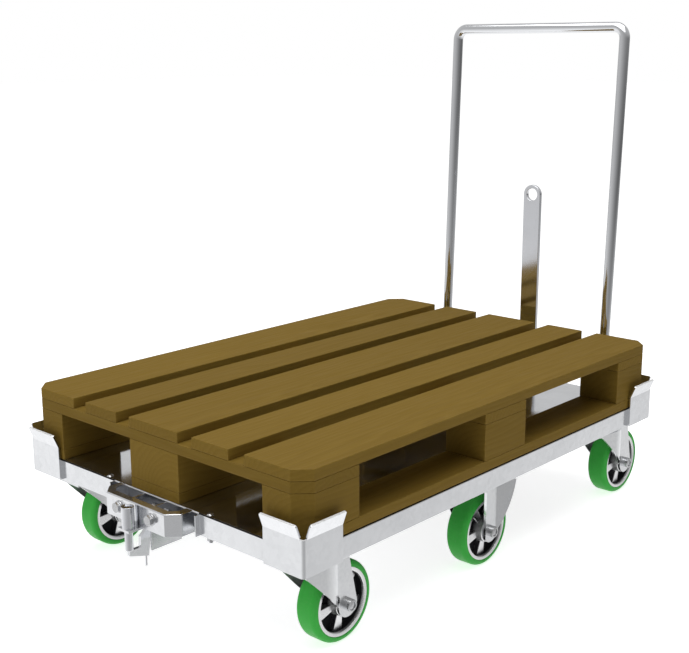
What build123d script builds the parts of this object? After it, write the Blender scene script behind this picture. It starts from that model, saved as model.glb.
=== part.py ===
from build123d import *
import os
from math import cos, radians, sin, tan

os.makedirs("parts", exist_ok=True)

# All sizes are millimetres and degrees. The floor is z = 0, the platform is centred on x = y = 0,
# the push handle and the drawbar stand at the front end (+X), the hitch is at the rear end (-X).

# Pallet
PALLET_LENGTH = 1200.0
PALLET_WIDTH = 800.0
PALLET_BOARD = 22.0
PALLET_BLOCK_HEIGHT = 78.0
PALLET_WIDE_BOARD = 145.0
PALLET_NARROW_BOARD = 100.0
PALLET_CORNER = 30.0

# Platform
SHEET = 3.0
DECK_SIDE_INSET = 5.0
RAIL_HEIGHT = 45.0
RAIL_FLANGE = 18.0
DECK_EDGE_ROUNDING = 2.4
WINDOW_WIDTH = 255.0
JAMB_DEPTH = 11.0

# Wheels
WHEEL_DIAMETER = 160.0
TREAD_WIDTH = 50.0
TREAD_THICKNESS = 13.4
TREAD_SHOULDER = 9.0
RIM_THICKNESS = 6.2
RIM_WIDTH = 47.0
HUB_DIAMETER = 52.0
HUB_LENGTH = 61.4
SPOKE_COUNT = 5
SPOKE_WIDTH = 18.0
SPOKE_DEPTH = 30.0
FIRST_SPOKE_ANGLE = -94.0
WEB_THICKNESS = 6.0
BEARING_DIAMETER = 38.0
BEARING_WIDTH = 12.0
AXLE_DIAMETER = 16.0
AXLE_RELIEF = 2.0
AXLE_NUT_DIAMETER = 24.0
AXLE_NUT_HEIGHT = 12.0
AXLE_HEAD_ACROSS = 24.0
AXLE_HEAD_HEIGHT = 10.0

# Castor forks, heads and plates
CASTOR_INSET = 67.6
CASTOR_TRAIL = 59.0
FORK_SHEET = 5.0
LEG_END_RADIUS = 25.0
LEG_TOP_SETBACK = 21.0
WING_REACH = 93.0
WING_HOLLOW = 11.0
WING_TURN = 10.0
WING_SWELL = 8.0
WING_SWELL_RUN = 42.0
LEG_SLOT_LENGTH = 15.0
LEG_SLOT_WIDTH = 8.0
LEG_SLOT_SETBACK = 26.5
LEG_SLOT_RISE = 16.5
FIXED_LEG_WIDTH = 36.0
FLANGE_REACH = 44.0
FLANGE_TOE = 6.0
FLANGE_TURN = 36.0
FLANGE_CROWN = 5.0
CROWN_CLEARANCE = 10.0
CROWN_THICKNESS = 6.0
RACE_DIAMETER = 76.0
RACE_HEIGHT = 12.5
KINGPIN_DIAMETER = 16.0
KINGPIN_HEAD_DIAMETER = 26.0
KINGPIN_HEAD_HEIGHT = 7.0
CASTOR_PLATE_LENGTH = 140.0
CASTOR_PLATE_WIDTH = 110.0
CASTOR_PLATE_THICKNESS = 6.0
CASTOR_PLATE_CORNER = 10.0
CASTOR_BOLT_SPACING_X = 105.0
CASTOR_BOLT_SPACING_Y = 80.0
CASTOR_BOLT_DIAMETER = 10.0
CASTOR_BOLT_ACROSS = 17.0
CASTOR_BOLT_HEAD = 6.4
CASTOR_NUT_HEIGHT = 8.0
BOLT_END = 2.0

# Corner guides
GUIDE_SHEET = 4.0
GUIDE_LEG = 100.0
GUIDE_FOOT = 1.0
GUIDE_RISE = 27.0
GUIDE_CORNER_RADIUS = 6.0
LIP_LENGTH = 30.0
LIP_FLARE = 21.8
LIP_ROOT = 2.0
LIP_NOTCH = 9.0
LIP_NOTCH_NARROWING = 1.0
LIP_TAPER = 1.5
LIP_CORNER_RADIUS = 4.0

# Push handle and its sockets
HANDLE_TUBE_DIAMETER = 25.0
HANDLE_TUBE_WALL = 2.0
HANDLE_INSET = 151.0
HANDLE_TOP = 1126.0
HANDLE_FOOT_LIFT = 5.0
HANDLE_STANDOFF = 44.2
HANDLE_LEAN = 2.1
HANDLE_BEND_RADIUS = 27.0
SOCKET_WALL = 4.5
SOCKET_LENGTH = 90.0
SOCKET_FLOOR = 4.0
SOCKET_ARM_WIDTH = 12.0
SOCKET_FLANGE_WIDTH = 74.0
SOCKET_BOLT_SPACING = 52.0
FRONT_FLANGE_THICKNESS = 6.0
FRONT_FLANGE_HEIGHT = 38.0
FRONT_BOLT_DIAMETER = 8.0
FRONT_BOLT_ACROSS = 13.0
FRONT_BOLT_HEAD = 5.3
FRONT_NUT_HEIGHT = 6.5

# Drawbar and its bracket
DRAWBAR_WIDTH = 50.0
DRAWBAR_THICKNESS = 10.0
DRAWBAR_LENGTH = 488.0
DRAWBAR_EYE_DIAMETER = 32.0
DRAWBAR_STANDOFF = 82.0
DRAWBAR_PIVOT_DROP = 25.0
BARREL_DIAMETER = 26.0
DRAWBAR_PIN_DIAMETER = 12.0
DRAWBAR_PIN_HEAD_DIAMETER = 20.0
DRAWBAR_PIN_HEAD_HEIGHT = 5.0
EAR_THICKNESS = 8.0
EAR_RADIUS = 14.0
BRACKET_PLATE_WIDTH = 124.0
BRACKET_BOLT_SPACING_Y = 98.0
BRACKET_BOLT_SPACING_Z = 18.0

# Hitch housing, coupling pin and lift lever
HITCH_REACH = 50.0
HITCH_FACE_WIDTH = 175.0
HITCH_CHAMFER = 23.0
HITCH_CHAMFER_ANGLE = 45.0
HITCH_SHEET = 4.0
HITCH_FLANGE = 17.0
HITCH_TOP_ROUNDING = 3.0
HITCH_BOLT_Y = 48.5
HITCH_BOLT_DROP = 20.6
HITCH_BOLT_DIAMETER = 12.0
HITCH_BOLT_ACROSS = 19.0
HITCH_BOLT_HEAD = 7.5
HITCH_WASHER_DIAMETER = 24.0
HITCH_WASHER_THICKNESS = 2.5
HITCH_NUT_HEIGHT = 10.0
TONGUE_HALF_WIDTH = 17.0
TONGUE_THICKNESS = 5.0
TONGUE_OVERLAP = 2.0
PIN_STANDOFF = 16.5
TUBE_DIAMETER = 25.0
TUBE_BORE = 21.0
TUBE_TOP_DROP = 1.7
PIN_SHANK_DIAMETER = 16.0
PIN_SHANK_LENGTH = 46.7
PIN_HEAD_TOP_DROP = 4.0
PIN_END_CHAMFER = 1.5
BRACKET_INNER_Y = 31.0
BRACKET_FLANGE = 31.0
BRACKET_FOOT_DROP = 46.0
BRACKET_FOOT_LENGTH = 74.0
BRACKET_FOOT_SETBACK = 10.0
LEVER_THICKNESS = 8.0
LEVER_REACH = 66.5
LEVER_PIVOT_DROP = 28.0
LEVER_PIVOT_DIAMETER = 10.0
LEVER_PIVOT_ACROSS = 17.0
LEVER_PIVOT_HEAD = 6.4
LEVER_BOSS_RADIUS = 12.0
LEVER_ARM_ANGLE = 45.0
LEVER_TOE_PAST_PIN = 2.5
LEVER_TOE_HEIGHT = 10.7
LEVER_BODY_SETBACK = 25.0
LEVER_SHOULDER_RISE = 21.0
LEVER_CREST_RISE = 28.0
LEVER_CREST_SETBACK = 34.5
LEVER_HEEL_SETBACK = 43.0
LEVER_HEEL_DROP = 24.0
LEVER_BACK_SETBACK = 49.0
LEVER_BACK_RISE = 15.0
LEVER_ROD_DIAMETER = 4.0
LEVER_ROD_LENGTH = 20.0
LEVER_ROD_INSET = 4.0
LEVER_ROD_ROOT = 8.0
TIE_BOLT_INSET = 7.5
TIE_BOLT_OFFSET = 24.5
TIE_BOLT_DIAMETER = 8.0
TIE_BOLT_HEAD_DIAMETER = 14.0
TIE_BOLT_HEAD = 3.5
TIE_BOLT_HEAD_TAPER = 20.0
TIE_BOLT_ACROSS = 13.0
TIE_NUT_HEIGHT = 6.5
TIE_BOLT_END = 4.0

# Clearances and shares
RUNNING_CLEARANCE = 0.05
BOLT_CLEARANCE = 0.1
SIDE_CLEARANCE = 0.3
SWIVEL_GAP = 0.5
SEAT_GAP = 0.3
PALLET_CLEARANCE = 4.0
BEAM_END_GAP = 1.0
TOE_GAP = 0.5
EAR_GAP = 0.5
ROUNDING_SHARE = 0.8

# Heights and places that follow from the sizes above
HALF_LENGTH = PALLET_LENGTH / 2
HALF_WIDTH = PALLET_WIDTH / 2
AXLE_Z = WHEEL_DIAMETER / 2
CROWN_Z = WHEEL_DIAMETER + CROWN_CLEARANCE
CROWN_TOP = CROWN_Z + CROWN_THICKNESS
PLATE_Z = CROWN_TOP + RACE_HEIGHT + SWIVEL_GAP
RAIL_Z = PLATE_Z + CASTOR_PLATE_THICKNESS
DECK_Z = RAIL_Z + RAIL_HEIGHT
DECK_UNDERSIDE = DECK_Z - SHEET
CHANNEL_HEIGHT = DECK_UNDERSIDE - RAIL_Z
CHANNEL_MID = (RAIL_Z + DECK_UNDERSIDE) / 2
BEAM_HALF_LENGTH = HALF_WIDTH - RAIL_FLANGE
BEAM_FRONT = -HALF_LENGTH + RAIL_FLANGE + BEAM_END_GAP
SWIVEL_X = -BEAM_FRONT - CASTOR_PLATE_LENGTH / 2
CASTOR_Y = HALF_WIDTH - CASTOR_INSET
HANDLE_HALF_WIDTH = HALF_WIDTH - HANDLE_INSET
LEG_INNER = HUB_LENGTH / 2 + SIDE_CLEARANCE
LEG_OUTER = LEG_INNER + FORK_SHEET
RIM_RADIUS = WHEEL_DIAMETER / 2 - TREAD_THICKNESS
CROWN_REAR = LEG_END_RADIUS - LEG_TOP_SETBACK
GUIDE_OUT = PALLET_CLEARANCE + GUIDE_SHEET
LIP_Z = DECK_Z + GUIDE_RISE
HITCH_FRONT = -HALF_LENGTH - HITCH_REACH
PIN_X = HITCH_FRONT - PIN_STANDOFF
PIN_BOTTOM = RAIL_Z + SEAT_GAP - PIN_SHANK_LENGTH
HITCH_BOLT_Z = DECK_Z - HITCH_BOLT_DROP
LEVER_PIVOT_X = PIN_X + LEVER_REACH
LEVER_PIVOT_Z = DECK_Z - LEVER_PIVOT_DROP
DRAWBAR_X = HALF_LENGTH + DRAWBAR_STANDOFF
DRAWBAR_PIVOT_Z = DECK_Z - DRAWBAR_PIVOT_DROP
PALLET_Z = DECK_Z + SEAT_GAP

SWIVELS = {
    "front_left": (SWIVEL_X, CASTOR_Y),
    "front_right": (SWIVEL_X, -CASTOR_Y),
    "rear_left": (-SWIVEL_X, CASTOR_Y),
    "rear_right": (-SWIVEL_X, -CASTOR_Y),
}
FIXED = {"middle_left": (0.0, CASTOR_Y), "middle_right": (0.0, -CASTOR_Y)}


def level(z, x=0.0, y=0.0):
    """Horizontal plane at height z, facing up."""
    return Plane((x, y, z))


def side_plane(x, y):
    """Upright plane whose local axes are +X and +Z, facing -Y."""
    return Plane((x, y, 0), x_dir=(1, 0, 0), z_dir=(0, -1, 0))


def end_plane(x, y=0.0):
    """Upright plane whose local axes are +Y and +Z, facing +X."""
    return Plane((x, y, 0), x_dir=(0, 1, 0), z_dir=(1, 0, 0))


def castor_bolt_places(x, y):
    """Four bolt places of one castor plate."""
    half_x = CASTOR_BOLT_SPACING_X / 2
    half_y = CASTOR_BOLT_SPACING_Y / 2
    return [(x + i * half_x, y + j * half_y) for i in (-1, 1) for j in (-1, 1)]


def save(piece, label):
    """Label a piece and write its STEP file."""
    piece.part.label = label
    export_step(piece.part, f"parts/{label}.step")


def channel_section(outer):
    """C section with the web's outer face at local x = outer, open towards local x = 0."""
    side = 1 if outer > 0 else -1
    inside = RAIL_FLANGE - SHEET
    with Locations((outer - side * RAIL_FLANGE / 2, CHANNEL_MID)):
        Rectangle(RAIL_FLANGE, CHANNEL_HEIGHT)
    with Locations((outer - side * (SHEET + inside / 2), CHANNEL_MID)):
        Rectangle(inside, CHANNEL_HEIGHT - 2 * SHEET, mode=Mode.SUBTRACT)


# Deck: a flat sheet with rounded top edges
tie_bolt_x = -HALF_LENGTH + TIE_BOLT_INSET
tie_bolt_y = WINDOW_WIDTH / 2 + TIE_BOLT_OFFSET
tie_bolt_places = [(tie_bolt_x, -tie_bolt_y), (tie_bolt_x, tie_bolt_y)]

with BuildPart() as deck_sheet:
    with BuildSketch(level(DECK_UNDERSIDE)):
        Rectangle(2 * HALF_LENGTH, 2 * (HALF_WIDTH - DECK_SIDE_INSET))
    extrude(amount=SHEET)
    fillet(deck_sheet.faces().sort_by(Axis.Z)[-1].edges(), min(DECK_EDGE_ROUNDING, ROUNDING_SHARE * SHEET))
    with BuildSketch(level(DECK_UNDERSIDE)):
        with Locations(*tie_bolt_places):
            Circle(TIE_BOLT_DIAMETER / 2 + BOLT_CLEARANCE)
    extrude(amount=SHEET, mode=Mode.SUBTRACT)
save(deck_sheet, "deck_sheet")

# Edge channels under the deck
with BuildPart() as side_channels:
    with BuildSketch(end_plane(-HALF_LENGTH)):
        channel_section(HALF_WIDTH)
    extrude(amount=2 * HALF_LENGTH)
    mirror(about=Plane.XZ)
save(side_channels, "side_channels")

front_bolt_z = CHANNEL_MID
socket_bolt_places = [
    (i * HANDLE_HALF_WIDTH + j * SOCKET_BOLT_SPACING / 2, front_bolt_z)
    for i in (-1, 1)
    for j in (-1, 1)
]
bracket_bolt_places = [
    (i * BRACKET_BOLT_SPACING_Y / 2, front_bolt_z + j * BRACKET_BOLT_SPACING_Z / 2)
    for i in (-1, 1)
    for j in (-1, 1)
]
front_bolt_places = socket_bolt_places + bracket_bolt_places

with BuildPart() as front_channel:
    with BuildSketch(side_plane(0, BEAM_HALF_LENGTH)):
        channel_section(HALF_LENGTH)
    extrude(amount=2 * BEAM_HALF_LENGTH)
    with BuildSketch(end_plane(HALF_LENGTH)):
        with Locations(*front_bolt_places):
            Circle(FRONT_BOLT_DIAMETER / 2 + BOLT_CLEARANCE)
    extrude(amount=-SHEET, mode=Mode.SUBTRACT)
save(front_channel, "front_channel")

with BuildPart() as rear_channels:
    with BuildSketch(side_plane(0, BEAM_HALF_LENGTH)):
        channel_section(-HALF_LENGTH)
    extrude(amount=BEAM_HALF_LENGTH - WINDOW_WIDTH / 2)
    with BuildSketch(side_plane(-HALF_LENGTH, WINDOW_WIDTH / 2 + SHEET)):
        with Locations(((RAIL_FLANGE - JAMB_DEPTH) / 2, CHANNEL_MID)):
            Rectangle(RAIL_FLANGE + JAMB_DEPTH, CHANNEL_HEIGHT)
    extrude(amount=SHEET)
    with BuildSketch(level(RAIL_Z)):
        with Locations((tie_bolt_x, tie_bolt_y)):
            Circle(TIE_BOLT_DIAMETER / 2 + BOLT_CLEARANCE)
    extrude(amount=CHANNEL_HEIGHT, mode=Mode.SUBTRACT)
    mirror(about=Plane.XZ)
save(rear_channels, "rear_channels")

# Cross beams: U channels, closed side down, that take the castor plates
with BuildPart() as castor_beams:
    for beam_x in (-SWIVEL_X, 0, SWIVEL_X):
        with BuildSketch(side_plane(beam_x, BEAM_HALF_LENGTH)):
            with Locations((0, CHANNEL_MID)):
                Rectangle(CASTOR_PLATE_LENGTH, CHANNEL_HEIGHT)
            with Locations((0, CHANNEL_MID + SHEET / 2)):
                Rectangle(CASTOR_PLATE_LENGTH - 2 * SHEET, CHANNEL_HEIGHT - SHEET, mode=Mode.SUBTRACT)
        extrude(amount=2 * BEAM_HALF_LENGTH)
    with BuildSketch(level(RAIL_Z)):
        for castor_x, castor_y in [*SWIVELS.values(), *FIXED.values()]:
            with Locations(*castor_bolt_places(castor_x, castor_y)):
                Circle(CASTOR_BOLT_DIAMETER / 2 + BOLT_CLEARANCE)
    extrude(amount=SHEET, mode=Mode.SUBTRACT)
save(castor_beams, "castor_beams")

# Tie bolts beside the hitch window: button head on the deck, nut under the channel
with BuildPart() as tie_bolts:
    tie_nut_z = RAIL_Z - TIE_NUT_HEIGHT
    tie_end_z = tie_nut_z - TIE_BOLT_END
    for x, y in tie_bolt_places:
        with BuildSketch(level(tie_end_z, x, y)):
            Circle(TIE_BOLT_DIAMETER / 2)
        extrude(amount=DECK_Z - tie_end_z)
        with BuildSketch(level(DECK_Z, x, y)):
            Circle(TIE_BOLT_HEAD_DIAMETER / 2)
        extrude(amount=TIE_BOLT_HEAD, taper=TIE_BOLT_HEAD_TAPER)
        with BuildSketch(level(tie_nut_z, x, y)):
            RegularPolygon(TIE_BOLT_ACROSS / 2, 6, major_radius=False)
        extrude(amount=TIE_NUT_HEIGHT)
save(tie_bolts, "tie_bolts")

# Corner guides: an upright angle plate, doubled down the apron, with two flared lips
lip_turn = radians(LIP_FLARE)


def lip_outline(corner, direction):
    """Points of one lip, along its leg from the notch at the corner to the leg's end, and up the flare."""
    notch = corner - LIP_NOTCH
    leg_end = corner - GUIDE_LEG
    points = [
        (notch, -LIP_ROOT),
        (notch, 0),
        (notch + LIP_NOTCH_NARROWING, LIP_LENGTH),
        (leg_end + LIP_TAPER, LIP_LENGTH),
        (leg_end, 0),
        (leg_end, -LIP_ROOT),
    ]
    return [(direction * along, up) for along, up in points]


corner_x = HALF_LENGTH + GUIDE_OUT
corner_y = HALF_WIDTH + GUIDE_OUT
lip_places = [
    (Plane((corner_x, 0, LIP_Z), x_dir=(0, 1, 0), z_dir=(cos(lip_turn), 0, -sin(lip_turn))), corner_y, 1),
    (Plane((0, corner_y, LIP_Z), x_dir=(-1, 0, 0), z_dir=(0, cos(lip_turn), -sin(lip_turn))), corner_x, -1),
]

with BuildPart() as guide:
    guide_levels = [
        (RAIL_Z + GUIDE_FOOT, DECK_UNDERSIDE, HALF_LENGTH, HALF_WIDTH),
        (DECK_UNDERSIDE, LIP_Z, HALF_LENGTH + PALLET_CLEARANCE, HALF_WIDTH + PALLET_CLEARANCE),
    ]
    for bottom, top, inner_x, inner_y in guide_levels:
        with BuildSketch(level(bottom)) as angle:
            with Locations((corner_x, corner_y)):
                Rectangle(GUIDE_LEG, GUIDE_LEG, align=(Align.MAX, Align.MAX))
            fillet(angle.vertices().sort_by(Axis.X).sort_by(Axis.Y)[-1], GUIDE_CORNER_RADIUS)
            with Locations((inner_x, inner_y)):
                Rectangle(GUIDE_LEG, GUIDE_LEG, align=(Align.MAX, Align.MAX), mode=Mode.SUBTRACT)
        extrude(amount=top - bottom)
    for lip_plane, corner, direction in lip_places:
        with BuildSketch(lip_plane) as lip:
            Polygon(*lip_outline(corner, direction), align=None)
            fillet(lip.vertices().group_by(Axis.Y)[-1], LIP_CORNER_RADIUS)
        extrude(amount=-GUIDE_SHEET)

for label, mirrors in {
    "front_left": [],
    "front_right": [Plane.XZ],
    "rear_left": [Plane.YZ],
    "rear_right": [Plane.XZ, Plane.YZ],
}.items():
    with BuildPart() as corner_guide:
        add(guide.part)
        for about in mirrors:
            mirror(about=about, mode=Mode.REPLACE)
    save(corner_guide, f"corner_guide_{label}")

# Push handle: one bent tube in a plane that leans outwards
lean = radians(HANDLE_LEAN)
leg_up = (sin(lean), 0, cos(lean))
handle_foot_z = RAIL_Z + HANDLE_FOOT_LIFT
handle_foot_x = HALF_LENGTH + HANDLE_STANDOFF
handle_rise = (HANDLE_TOP - handle_foot_z) / cos(lean)
handle_plane = Plane((handle_foot_x, 0, handle_foot_z), x_dir=(0, 1, 0), z_dir=(cos(lean), 0, -sin(lean)))

with BuildPart() as push_handle:
    with BuildLine(handle_plane) as handle_path:
        FilletPolyline(
            (-HANDLE_HALF_WIDTH, 0),
            (-HANDLE_HALF_WIDTH, handle_rise),
            (HANDLE_HALF_WIDTH, handle_rise),
            (HANDLE_HALF_WIDTH, 0),
            radius=HANDLE_BEND_RADIUS,
        )
    with BuildSketch(Plane((handle_foot_x, -HANDLE_HALF_WIDTH, handle_foot_z), z_dir=leg_up)):
        Circle(HANDLE_TUBE_DIAMETER / 2)
        Circle(HANDLE_TUBE_DIAMETER / 2 - HANDLE_TUBE_WALL, mode=Mode.SUBTRACT)
    sweep(path=handle_path.line)
save(push_handle, "push_handle")

# Handle sockets: flange on the front channel, arm and leaning tube with a floor
with BuildPart() as handle_sockets:
    socket_bore = HANDLE_TUBE_DIAMETER / 2 + BOLT_CLEARANCE
    for side in (-1, 1):
        socket_y = side * HANDLE_HALF_WIDTH
        with BuildSketch(end_plane(HALF_LENGTH, socket_y)):
            with Locations((0, CHANNEL_MID)):
                Rectangle(SOCKET_FLANGE_WIDTH, FRONT_FLANGE_HEIGHT)
            with Locations(*[(j * SOCKET_BOLT_SPACING / 2, front_bolt_z) for j in (-1, 1)]):
                Circle(FRONT_BOLT_DIAMETER / 2 + BOLT_CLEARANCE, mode=Mode.SUBTRACT)
        extrude(amount=FRONT_FLANGE_THICKNESS)
        with BuildSketch(end_plane(HALF_LENGTH, socket_y)):
            with Locations((0, CHANNEL_MID)):
                Rectangle(SOCKET_ARM_WIDTH, FRONT_FLANGE_HEIGHT)
        extrude(amount=HANDLE_STANDOFF)
        foot = Plane((handle_foot_x, socket_y, handle_foot_z), z_dir=leg_up)
        with BuildSketch(foot.offset(-SOCKET_FLOOR)):
            Circle(socket_bore + SOCKET_WALL)
        extrude(amount=SOCKET_LENGTH + SOCKET_FLOOR)
        with BuildSketch(foot):
            Circle(socket_bore)
        extrude(amount=SOCKET_LENGTH, mode=Mode.SUBTRACT)
save(handle_sockets, "handle_sockets")

# Bolts of the handle sockets and the drawbar bracket
with BuildPart() as front_bolts:
    bolt_head_x = HALF_LENGTH + FRONT_FLANGE_THICKNESS
    nut_x = HALF_LENGTH - SHEET - FRONT_NUT_HEIGHT
    for y, z in front_bolt_places:
        with BuildSketch(end_plane(nut_x - BOLT_END)):
            with Locations((y, z)):
                Circle(FRONT_BOLT_DIAMETER / 2)
        extrude(amount=bolt_head_x - nut_x + BOLT_END)
        for start, height in ((bolt_head_x, FRONT_BOLT_HEAD), (nut_x, FRONT_NUT_HEIGHT)):
            with BuildSketch(end_plane(start)):
                with Locations((y, z)):
                    RegularPolygon(FRONT_BOLT_ACROSS / 2, 6, major_radius=False)
            extrude(amount=height)
save(front_bolts, "front_bolts")

# Drawbar: flat bar with an eye at its free end and a cross barrel at its pivot
drawbar_tip_z = DECK_Z + DRAWBAR_LENGTH
eye_z = drawbar_tip_z - DRAWBAR_WIDTH / 2
barrel_bore = DRAWBAR_PIN_DIAMETER / 2 + RUNNING_CLEARANCE

with BuildPart() as drawbar:
    with BuildSketch(end_plane(DRAWBAR_X - DRAWBAR_THICKNESS / 2)):
        with Locations((0, DRAWBAR_PIVOT_Z)):
            Rectangle(DRAWBAR_WIDTH, eye_z - DRAWBAR_PIVOT_Z, align=(Align.CENTER, Align.MIN))
        with Locations((0, eye_z)):
            Circle(DRAWBAR_WIDTH / 2)
            Circle(DRAWBAR_EYE_DIAMETER / 2, mode=Mode.SUBTRACT)
    extrude(amount=DRAWBAR_THICKNESS)
    with BuildSketch(side_plane(DRAWBAR_X, DRAWBAR_WIDTH / 2)):
        with Locations((0, DRAWBAR_PIVOT_Z)):
            Circle(BARREL_DIAMETER / 2)
    extrude(amount=DRAWBAR_WIDTH)
    with BuildSketch(side_plane(DRAWBAR_X, DRAWBAR_WIDTH / 2)):
        with Locations((0, DRAWBAR_PIVOT_Z)):
            Circle(barrel_bore)
    extrude(amount=DRAWBAR_WIDTH, mode=Mode.SUBTRACT)
save(drawbar, "drawbar")

ear_inner = DRAWBAR_WIDTH / 2 + EAR_GAP
ear_outer = ear_inner + EAR_THICKNESS

with BuildPart() as drawbar_bracket:
    with BuildSketch(end_plane(HALF_LENGTH)):
        with Locations((0, CHANNEL_MID)):
            Rectangle(BRACKET_PLATE_WIDTH, FRONT_FLANGE_HEIGHT)
        with Locations(*bracket_bolt_places):
            Circle(FRONT_BOLT_DIAMETER / 2 + BOLT_CLEARANCE, mode=Mode.SUBTRACT)
    extrude(amount=FRONT_FLANGE_THICKNESS)
    for ear_start in (ear_outer, -ear_inner):
        with BuildSketch(side_plane(HALF_LENGTH, ear_start)):
            with Locations((0, DRAWBAR_PIVOT_Z)):
                Rectangle(DRAWBAR_STANDOFF, 2 * EAR_RADIUS, align=(Align.MIN, Align.CENTER))
            with Locations((DRAWBAR_STANDOFF, DRAWBAR_PIVOT_Z)):
                Circle(EAR_RADIUS)
                Circle(barrel_bore, mode=Mode.SUBTRACT)
        extrude(amount=EAR_THICKNESS)
save(drawbar_bracket, "drawbar_bracket")

with BuildPart() as drawbar_pin:
    with BuildSketch(side_plane(DRAWBAR_X, ear_outer)):
        with Locations((0, DRAWBAR_PIVOT_Z)):
            Circle(DRAWBAR_PIN_DIAMETER / 2)
    extrude(amount=2 * ear_outer)
    for head_start in (ear_outer + DRAWBAR_PIN_HEAD_HEIGHT, -ear_outer):
        with BuildSketch(side_plane(DRAWBAR_X, head_start)):
            with Locations((0, DRAWBAR_PIVOT_Z)):
                Circle(DRAWBAR_PIN_HEAD_DIAMETER / 2)
        extrude(amount=DRAWBAR_PIN_HEAD_HEIGHT)
save(drawbar_pin, "drawbar_pin")


# Hitch housing: folded front with chamfered corners, side walls to the rear beam and a top flange
def housing_outline(inset, back):
    """Plan of the housing, moved in by inset and ending at x = back."""
    shift = inset * tan(radians(HITCH_CHAMFER_ANGLE / 2))
    half_face = HITCH_FACE_WIDTH / 2 - shift
    front = HITCH_FRONT + inset
    corner = HITCH_FRONT + HITCH_CHAMFER + shift
    half_side = HITCH_FACE_WIDTH / 2 + HITCH_CHAMFER - inset
    return [
        (back, -half_side),
        (corner, -half_side),
        (front, -half_face),
        (front, half_face),
        (corner, half_side),
        (back, half_side),
    ]


flange_end = -HALF_LENGTH - SEAT_GAP
flange_bottom = DECK_Z - HITCH_SHEET
wall_top = DECK_UNDERSIDE - SEAT_GAP
side_wall_y = HITCH_FACE_WIDTH / 2 + HITCH_CHAMFER - HITCH_SHEET / 2
hitch_bolt_places = [(-HITCH_BOLT_Y, HITCH_BOLT_Z), (HITCH_BOLT_Y, HITCH_BOLT_Z)]

with BuildPart() as hitch_housing:
    with BuildSketch(level(RAIL_Z)):
        Polygon(*housing_outline(0, flange_end), align=None)
    extrude(amount=DECK_Z - RAIL_Z)
    top_edges = hitch_housing.faces().sort_by(Axis.Z)[-1].edges().sort_by(Axis.X)
    fillet(top_edges[:-1], min(HITCH_TOP_ROUNDING, ROUNDING_SHARE * HITCH_SHEET))
    with BuildSketch(level(RAIL_Z)):
        Polygon(*housing_outline(HITCH_SHEET, 0), align=None)
    extrude(amount=flange_bottom - RAIL_Z, mode=Mode.SUBTRACT)
    with BuildSketch(level(flange_bottom)):
        Polygon(*housing_outline(HITCH_FLANGE, 0), align=None)
    extrude(amount=HITCH_SHEET, mode=Mode.SUBTRACT)
    with BuildSketch(level(RAIL_Z)):
        with Locations((flange_end, -side_wall_y), (flange_end, side_wall_y)):
            Rectangle(BEAM_FRONT - flange_end, HITCH_SHEET, align=(Align.MIN, Align.CENTER))
    extrude(amount=wall_top - RAIL_Z)
    with BuildSketch(end_plane(HITCH_FRONT)):
        with Locations(*hitch_bolt_places):
            Circle(HITCH_BOLT_DIAMETER / 2 + BOLT_CLEARANCE)
    extrude(amount=HITCH_SHEET, mode=Mode.SUBTRACT)
save(hitch_housing, "hitch_housing")

# Tongue under the housing front, which carries the guide tube
tongue_front = PIN_X - TUBE_DIAMETER / 2
tongue_back = HITCH_FRONT + HITCH_SHEET + TONGUE_OVERLAP

with BuildPart() as hitch_tongue:
    with BuildSketch(level(RAIL_Z - TONGUE_THICKNESS)):
        with Locations((tongue_front, 0)):
            Rectangle(tongue_back - tongue_front, 2 * TONGUE_HALF_WIDTH, align=(Align.MIN, Align.CENTER))
        with Locations((PIN_X, 0)):
            Circle(PIN_SHANK_DIAMETER / 2 + RUNNING_CLEARANCE, mode=Mode.SUBTRACT)
    extrude(amount=TONGUE_THICKNESS)
save(hitch_tongue, "hitch_tongue")

with BuildPart() as guide_tube:
    with BuildSketch(level(RAIL_Z, PIN_X)):
        Circle(TUBE_DIAMETER / 2)
        Circle(TUBE_BORE / 2, mode=Mode.SUBTRACT)
    extrude(amount=RAIL_HEIGHT - TUBE_TOP_DROP)
save(guide_tube, "guide_tube")

# Coupling pin: a head that runs in the tube on a shank that runs through the tongue
with BuildPart() as coupling_pin:
    with BuildSketch(level(PIN_BOTTOM, PIN_X)):
        Circle(PIN_SHANK_DIAMETER / 2)
    extrude(amount=PIN_SHANK_LENGTH)
    chamfer(coupling_pin.faces().sort_by(Axis.Z)[0].edges(), PIN_END_CHAMFER)
    with BuildSketch(level(RAIL_Z + SEAT_GAP, PIN_X)):
        Circle(TUBE_BORE / 2 - RUNNING_CLEARANCE)
    extrude(amount=RAIL_HEIGHT - PIN_HEAD_TOP_DROP - SEAT_GAP)
    chamfer(coupling_pin.faces().sort_by(Axis.Z)[-1].edges(), PIN_END_CHAMFER)
save(coupling_pin, "coupling_pin")

# Brackets behind the housing front: the right one reaches down as a cheek beside the lever
bracket_front = HITCH_FRONT + HITCH_SHEET
bracket_foot_x = bracket_front + BRACKET_FOOT_SETBACK - HITCH_SHEET
bracket_outer = BRACKET_INNER_Y + HITCH_SHEET
bracket_height = flange_bottom - SEAT_GAP - RAIL_Z
pivot_bore = LEVER_PIVOT_DIAMETER / 2 + RUNNING_CLEARANCE

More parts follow.
